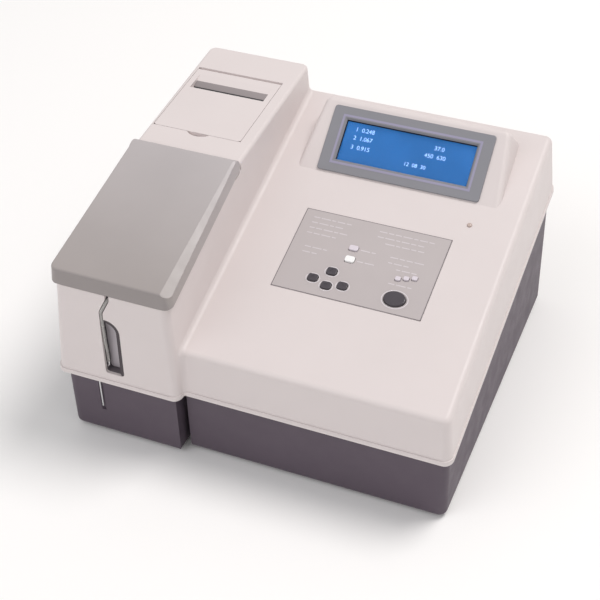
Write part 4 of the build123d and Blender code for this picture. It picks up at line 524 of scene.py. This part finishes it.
class ANALYZER_OT_screen(bpy.types.Operator):
    """The screen: frame, window and the lit display with its figures"""
    bl_idname = "analyzer.screen"
    bl_label = "Screen"

    def execute(self, context):
        sizes = context.scene.analyzer_screen
        dress(moulded("bezel_plastic", sizes.bezel_colour, rough=0.33, grain=2600, relief=0.05),
              "screen_bezel")
        dress(clear("window_glass", (0.97, 0.98, 1.0), rough=0.02, ior=1.12), "screen_window")
        dress(moulded("display_frame", srgb(38, 40, 52), rough=0.4), "lcd_module")
        face = tilted(SCREEN_POINT, SCREEN_TILT)

        def glass(shape):
            soft_box(shape, DISPLAY_SIZE, face @ Matrix.Translation((0, 0, -DISPLAY_DEPTH)), 0.0001)

        light = lit_display("display_light", sizes.display_colour, 0.85)
        new_piece("display_glass", glass, light, "casing")

        def rows(shape):
            for words, across, up, share in DISPLAY_ROWS:
                place = face @ Matrix.Translation((across, up, -FIGURE_DEPTH))
                plain_figures(shape, words, sizes.text_height * share, FIGURE_THICKNESS, place)

        light = glowing("figure_light", sizes.text_colour, 0.9)
        new_piece("display_figures", rows, light, "casing", smooth=False)

        def border(shape):
            flat_ring(shape, BORDER_WIDTH, BORDER_HEIGHT, BORDER_LINE, BORDER_THICKNESS, face)

        print_finish = moulded("border_print", sizes.border_colour, rough=0.35, relief=0.02)
        new_piece("display_border", border, print_finish, "casing", smooth=False)
        return {"FINISHED"}


def label_bars():
    """The plain bars in place of the panel's small print: place from its middle and length."""
    bars = []
    for up, start, stop in LABEL_ROWS:
        across = start
        length = LABEL_LENGTHS[len(bars) % len(LABEL_LENGTHS)]
        while across + length <= stop:
            bars.append((across + length / 2, up, length))
            across += length + LABEL_GAP
            length = LABEL_LENGTHS[len(bars) % len(LABEL_LENGTHS)]
    return bars


class ANALYZER_OT_keypad(bpy.types.Operator):
    """The keypad's panel, its keys and the small lamp"""
    bl_idname = "analyzer.keypad"
    bl_label = "Keypad"

    def execute(self, context):
        sizes = context.scene.analyzer_keypad
        dress(moulded("panel_film", sizes.panel_colour, rough=0.38, grain=3200, relief=0.06, shade=0.96),
              "keypad_panel")
        dress(moulded("dark_key", sizes.dark_key_colour, rough=0.3, relief=0.04, specular=0.5), "key_left",
              "key_up", "key_down", "key_right", "enter_key")
        dress(moulded("bright_key", srgb(250, 250, 250), rough=0.25, relief=0.03), "start_key")
        dress(moulded("pale_key", sizes.pale_key_colour, rough=0.3, relief=0.03), "clear_key", "menu_key",
              "print_key", "wash_key")
        dress(moulded("lamp_lens", srgb(196, 178, 170), rough=0.2, relief=0.02, specular=0.6),
              "indicator_lamp")
        dress(circuit_board("keypad_circuit"), "keypad_board")
        face = tilted(DECK_POINT, DECK_TILT) @ Matrix.Translation((0, 0, PANEL_PROUD))

        def line(shape):
            flat_ring(shape, PANEL_WIDTH, PANEL_HEIGHT, PANEL_LINE, PRINT_THICKNESS, face)

        def rings(shape):
            for place in ARROW_PLACES:
                spot = face @ Matrix.Translation((*place, 0))
                oval_ring(shape, *ARROW_RING, RING_LINE, PRINT_THICKNESS, spot)
            spot = face @ Matrix.Translation((*ENTER_PLACE, 0))
            oval_ring(shape, *ENTER_RING, RING_LINE, PRINT_THICKNESS, spot)

        def bars(shape):
            for across, up, length in label_bars():
                spot = face @ Matrix.Translation((across, up, PRINT_THICKNESS / 2))
                soft_box(shape, Vector((length, LABEL_HEIGHT, PRINT_THICKNESS)), spot, 0.00002, 1)

        prints = [("panel_line", line, "panel_line", sizes.line_colour),
                  ("key_rings", rings, "ring_print", sizes.mark_colour),
                  ("label_bars", bars, "label_print", sizes.label_colour)]
        for name, mesh_code, finish_name, colour in prints:
            finish = moulded(finish_name, colour, rough=0.4, relief=0.02)
            new_piece(name, mesh_code, finish, "casing", smooth=False)
        return {"FINISHED"}


def shadow_strip_points(inset):
    """The swept side of the recess, from its top to its lower right corner, as X and Z."""
    turns = [pi / 2 * step / CORNER_STEPS for step in range(CORNER_STEPS + 1)]
    middle = (RECESS_RIGHT - RECESS_ARC, RECESS_HIGH - RECESS_ARC)
    radius = RECESS_ARC - inset
    sweep = [(middle[0] + radius * sin(turn), middle[1] + radius * cos(turn)) for turn in turns]
    radius = max(RECESS_CORNER - inset, SHADOW_STRIP_LEAST_CORNER)
    middle = (RECESS_RIGHT - inset - radius, RECESS_LOW + RECESS_CORNER)
    return sweep + [(middle[0] + radius * cos(turn), middle[1] - radius * sin(turn)) for turn in turns]


def recess_shadow_strip(shape):
    """A dark strip of painted shadow just inside the recess's swept side, closed, and leaning with the
    front.
    """
    def ring(points, back):
        return [shape.verts.new((x, FRONT_Y + FRONT_LEAN * (z - SEAM_Z) + back, z)) for x, z in points]

    wall, free = shadow_strip_points(-SHADOW_STRIP_PRESS), shadow_strip_points(SHADOW_STRIP_WIDTH)
    loops = [ring(wall, SHADOW_STRIP_BACK), ring(free, SHADOW_STRIP_BACK), ring(free, SHADOW_STRIP_BACK + SHADOW_STRIP_DEPTH),
             ring(wall, SHADOW_STRIP_BACK + SHADOW_STRIP_DEPTH)]
    for first, second in zip(loops, loops[1:] + loops[:1]):
        for step in range(len(first) - 1):
            shape.faces.new((first[step], first[step + 1], second[step + 1], second[step]))
    for end in (0, -1):
        shape.faces.new([loop[end] for loop in loops])


class ANALYZER_OT_bay(bpy.types.Operator):
    """The sample bay: its tray, the pump, the flow cell, the needle and the tubes"""
    bl_idname = "analyzer.bay"
    bl_label = "Sample bay"

    def execute(self, context):
        inner = moulded("inner_plastic", srgb(205, 200, 198), rough=0.5, relief=0.1)
        dress(inner, "bay_tray", "printer_tub")
        dress(moulded("recess_plastic", srgb(112, 105, 110), rough=0.5), "recess_liner")
        dress(moulded("trigger_plastic", srgb(188, 181, 186), rough=0.4), "aspirate_trigger")
        dress(metal("needle_steel", (0.78, 0.78, 0.79), rough=0.16), "sample_needle", "trigger_pin",
              "trigger_spring")
        dress(clear("soft_tube", (0.62, 0.60, 0.58), rough=0.25, transmission=0.5), "sample_tube",
              "pump_tube")
        dress(moulded("pump_plastic", srgb(228, 226, 222), rough=0.4), "pump_housing", "pump_roller_1",
              "pump_roller_2", "pump_roller_3")
        dress(metal("machined_aluminium", (0.50, 0.50, 0.51), rough=0.48), "pump_rotor", "optics_bench",
              "lamp_house", "print_head")
        dress(metal("motor_can", (0.42, 0.42, 0.43), rough=0.4), "pump_motor", "filter_motor",
              "printer_motor", "power_supply")
        dress(moulded("black_plastic", srgb(48, 48, 50), rough=0.45), "flow_cell", "filter_wheel",
              "light_detector", "trigger_switch")
        # Painted shadow: a near-black strip stands in for the shade along the recess's swept side.
        shadow_strip_finish = moulded("shadow_strip_plastic", srgb(72, 64, 68), rough=0.5)
        new_piece("recess_shadow_strip", recess_shadow_strip, shadow_strip_finish, "casing")
        return {"FINISHED"}


class ANALYZER_OT_printer(bpy.types.Operator):
    """The printer: paper roll, spindle, platen and pinion"""
    bl_idname = "analyzer.printer"
    bl_label = "Printer"

    def execute(self, context):
        dress(wound_paper("paper_turns"), "paper_roll")
        dress(moulded("spindle_plastic", srgb(60, 60, 62), rough=0.4), "paper_spindle")
        dress(moulded("platen_rubber", srgb(52, 52, 54), rough=0.7, relief=0.2), "platen_roller")
        dress(moulded("gear_plastic", srgb(235, 232, 225), rough=0.35), "motor_pinion")
        floor = tilted(SLOT_POINT, SLOT_TILT)

        def bar(shape):
            middle = Matrix.Translation((SLOT_MIDDLE_X, TEAR_BAR_Y, TEAR_BAR_Z))
            soft_box(shape, TEAR_BAR_SIZE, floor @ middle, 0.00012)
            for count in range(TOOTH_COUNT):
                across = TOOTH_PITCH * (count - (TOOTH_COUNT - 1) / 2)
                tooth = Matrix.Translation((across, TOOTH_Y, TEAR_BAR_Z)) @ Matrix.Rotation(pi / 4, 4, "Z")
                soft_box(shape, TOOTH_SIZE, floor @ tooth, 0.0001, 1)

        # Partly painted shade: the tear bar's near-black steel also stands in for the shade in the paper
        # slit.
        steel = metal("tear_steel_slit_shade", (0.10, 0.10, 0.105), rough=0.4)
        new_piece("tear_bar_slit_shade", bar, steel, "printer_flap_body")

        def slot_shade(shape):
            middle = Matrix.Translation((SLOT_MIDDLE_X, SLOT_SHADE_Y, SLOT_SHADE_Z))
            soft_box(shape, SLOT_SHADE_SIZE, floor @ middle, 0.00012)

        # Painted shade: a grey sheet on the slot's sunken floor stands in for the shade there.
        plastic = moulded("slot_shade_plastic", srgb(150, 142, 143), rough=0.45)
        new_piece("slot_shade_sheet", slot_shade, plastic, "printer_flap_body")
        return {"FINISHED"}


class ANALYZER_OT_rear(bpy.types.Operator):
    """The fittings of the rear wall and the boards inside"""
    bl_idname = "analyzer.rear"
    bl_label = "Rear and inside"

    def execute(self, context):
        black = moulded("fitting_plastic", srgb(44, 44, 46), rough=0.42)
        dress(black, "fan_frame", "fan_rotor", "power_entry", "power_rocker", "waste_fitting")
        dress(metal("plated_steel", (0.60, 0.60, 0.61), rough=0.3), "serial_port")
        dress(circuit_board("main_circuit"), "main_board")
        return {"FINISHED"}


class ANALYZER_OT_stage(bpy.types.Operator):
    """The floor, the lamps, the surroundings and the camera"""
    bl_idname = "analyzer.stage"
    bl_label = "Stage"

    def execute(self, context):
        scene = context.scene
        sizes = scene.analyzer_stage
        mesh = bpy.data.meshes.new("floor")
        shape = bmesh.new()
        bmesh.ops.create_grid(shape, x_segments=1, y_segments=1, size=FLOOR_SIZE)
        shape.to_mesh(mesh)
        shape.free()
        floor = bpy.data.objects.new("floor", mesh)
        scene.collection.objects.link(floor)
        finish, shader, _, _ = fresh_material("floor_paper")
        shader.inputs["Base Color"].default_value = (*sizes.floor_colour, 1)
        shader.inputs["Roughness"].default_value = 0.9
        shader.inputs["Specular IOR Level"].default_value = 0.1
        mesh.materials.append(finish)
        world = bpy.data.worlds.new("surroundings")
        scene.world = world
        world.use_nodes = True
        sky = world.node_tree.nodes["Background"]
        sky.inputs["Color"].default_value = (1.0, 0.99, 0.985, 1)
        sky.inputs["Strength"].default_value = sizes.world_strength
        self.lamp(scene, "main_lamp", MAIN_PLACE, MAIN_SIZE, sizes.key_power, (1.0, 0.97, 0.95))
        self.lamp(scene, "fill_lamp", FILL_PLACE, FILL_SIZE, sizes.fill_power, (0.97, 0.97, 1.0))
        self.camera(scene)
        scene.view_settings.view_transform = "Standard"
        return {"FINISHED"}

    def lamp(self, scene, name, place, size, power, colour):
        """A large round lamp turned to the object."""
        light = bpy.data.lights.new(name, "AREA")
        light.shape = "DISK"
        light.size = size
        light.energy = power
        light.color = colour
        lamp = bpy.data.objects.new(name, light)
        scene.collection.objects.link(lamp)
        turn = (Vector(place) - LAMP_AIM).to_track_quat("Z", "Y").to_matrix().to_4x4()
        lamp.matrix_world = Matrix.Translation(place) @ turn

    def camera(self, scene):
        """The camera at the photograph's place and angle."""
        forward = (CAMERA_TARGET - CAMERA_EYE).normalized()
        right = forward.cross(Vector((0, 0, 1))).normalized()
        up = right.cross(forward)
        rolled_right = right * cos(CAMERA_ROLL) + up * sin(CAMERA_ROLL)
        rolled_up = up * cos(CAMERA_ROLL) - right * sin(CAMERA_ROLL)
        turn = Matrix((rolled_right, rolled_up, -forward)).transposed().to_4x4()
        data = bpy.data.cameras.new("camera")
        data.sensor_width = CAMERA_SENSOR
        data.lens = CAMERA_LENS
        data.shift_x = CAMERA_SHIFT_X
        data.shift_y = CAMERA_SHIFT_Y
        data.clip_end = CAMERA_REACH
        camera = bpy.data.objects.new("camera", data)
        camera.matrix_world = Matrix.Translation(CAMERA_EYE) @ turn
        scene.collection.objects.link(camera)
        scene.camera = camera


PIECE_OPERATORS = [ANALYZER_OT_casing, ANALYZER_OT_screen, ANALYZER_OT_keypad, ANALYZER_OT_bay,
                   ANALYZER_OT_printer, ANALYZER_OT_rear, ANALYZER_OT_stage]


class ANALYZER_PT_build(bpy.types.Panel):
    """Lists the analyzer's pieces"""
    bl_idname = "ANALYZER_PT_build"
    bl_label = "Analyzer"
    bl_space_type = "VIEW_3D"
    bl_region_type = "UI"
    bl_category = "Analyzer"

    def draw(self, context):
        for operator in PIECE_OPERATORS:
            self.layout.operator(operator.bl_idname)


SETTINGS = {"analyzer_casing": CasingSettings, "analyzer_screen": ScreenSettings,
            "analyzer_keypad": KeypadSettings, "analyzer_stage": StageSettings}


def register():
    for cls in [*SETTINGS.values(), *PIECE_OPERATORS, ANALYZER_PT_build]:
        bpy.utils.register_class(cls)
    for name, group in SETTINGS.items():
        setattr(bpy.types.Scene, name, PointerProperty(type=group))


def unregister():
    for name in SETTINGS:
        delattr(bpy.types.Scene, name)
    for cls in reversed([*SETTINGS.values(), *PIECE_OPERATORS, ANALYZER_PT_build]):
        bpy.utils.unregister_class(cls)


def main():
    register()
    bpy.ops.analyzer.casing()
    bpy.ops.analyzer.screen()
    bpy.ops.analyzer.keypad()
    bpy.ops.analyzer.bay()
    bpy.ops.analyzer.printer()
    bpy.ops.analyzer.rear()
    bpy.ops.analyzer.stage()
    bpy.context.view_layer.update()


if __name__ == "__main__":
    main()
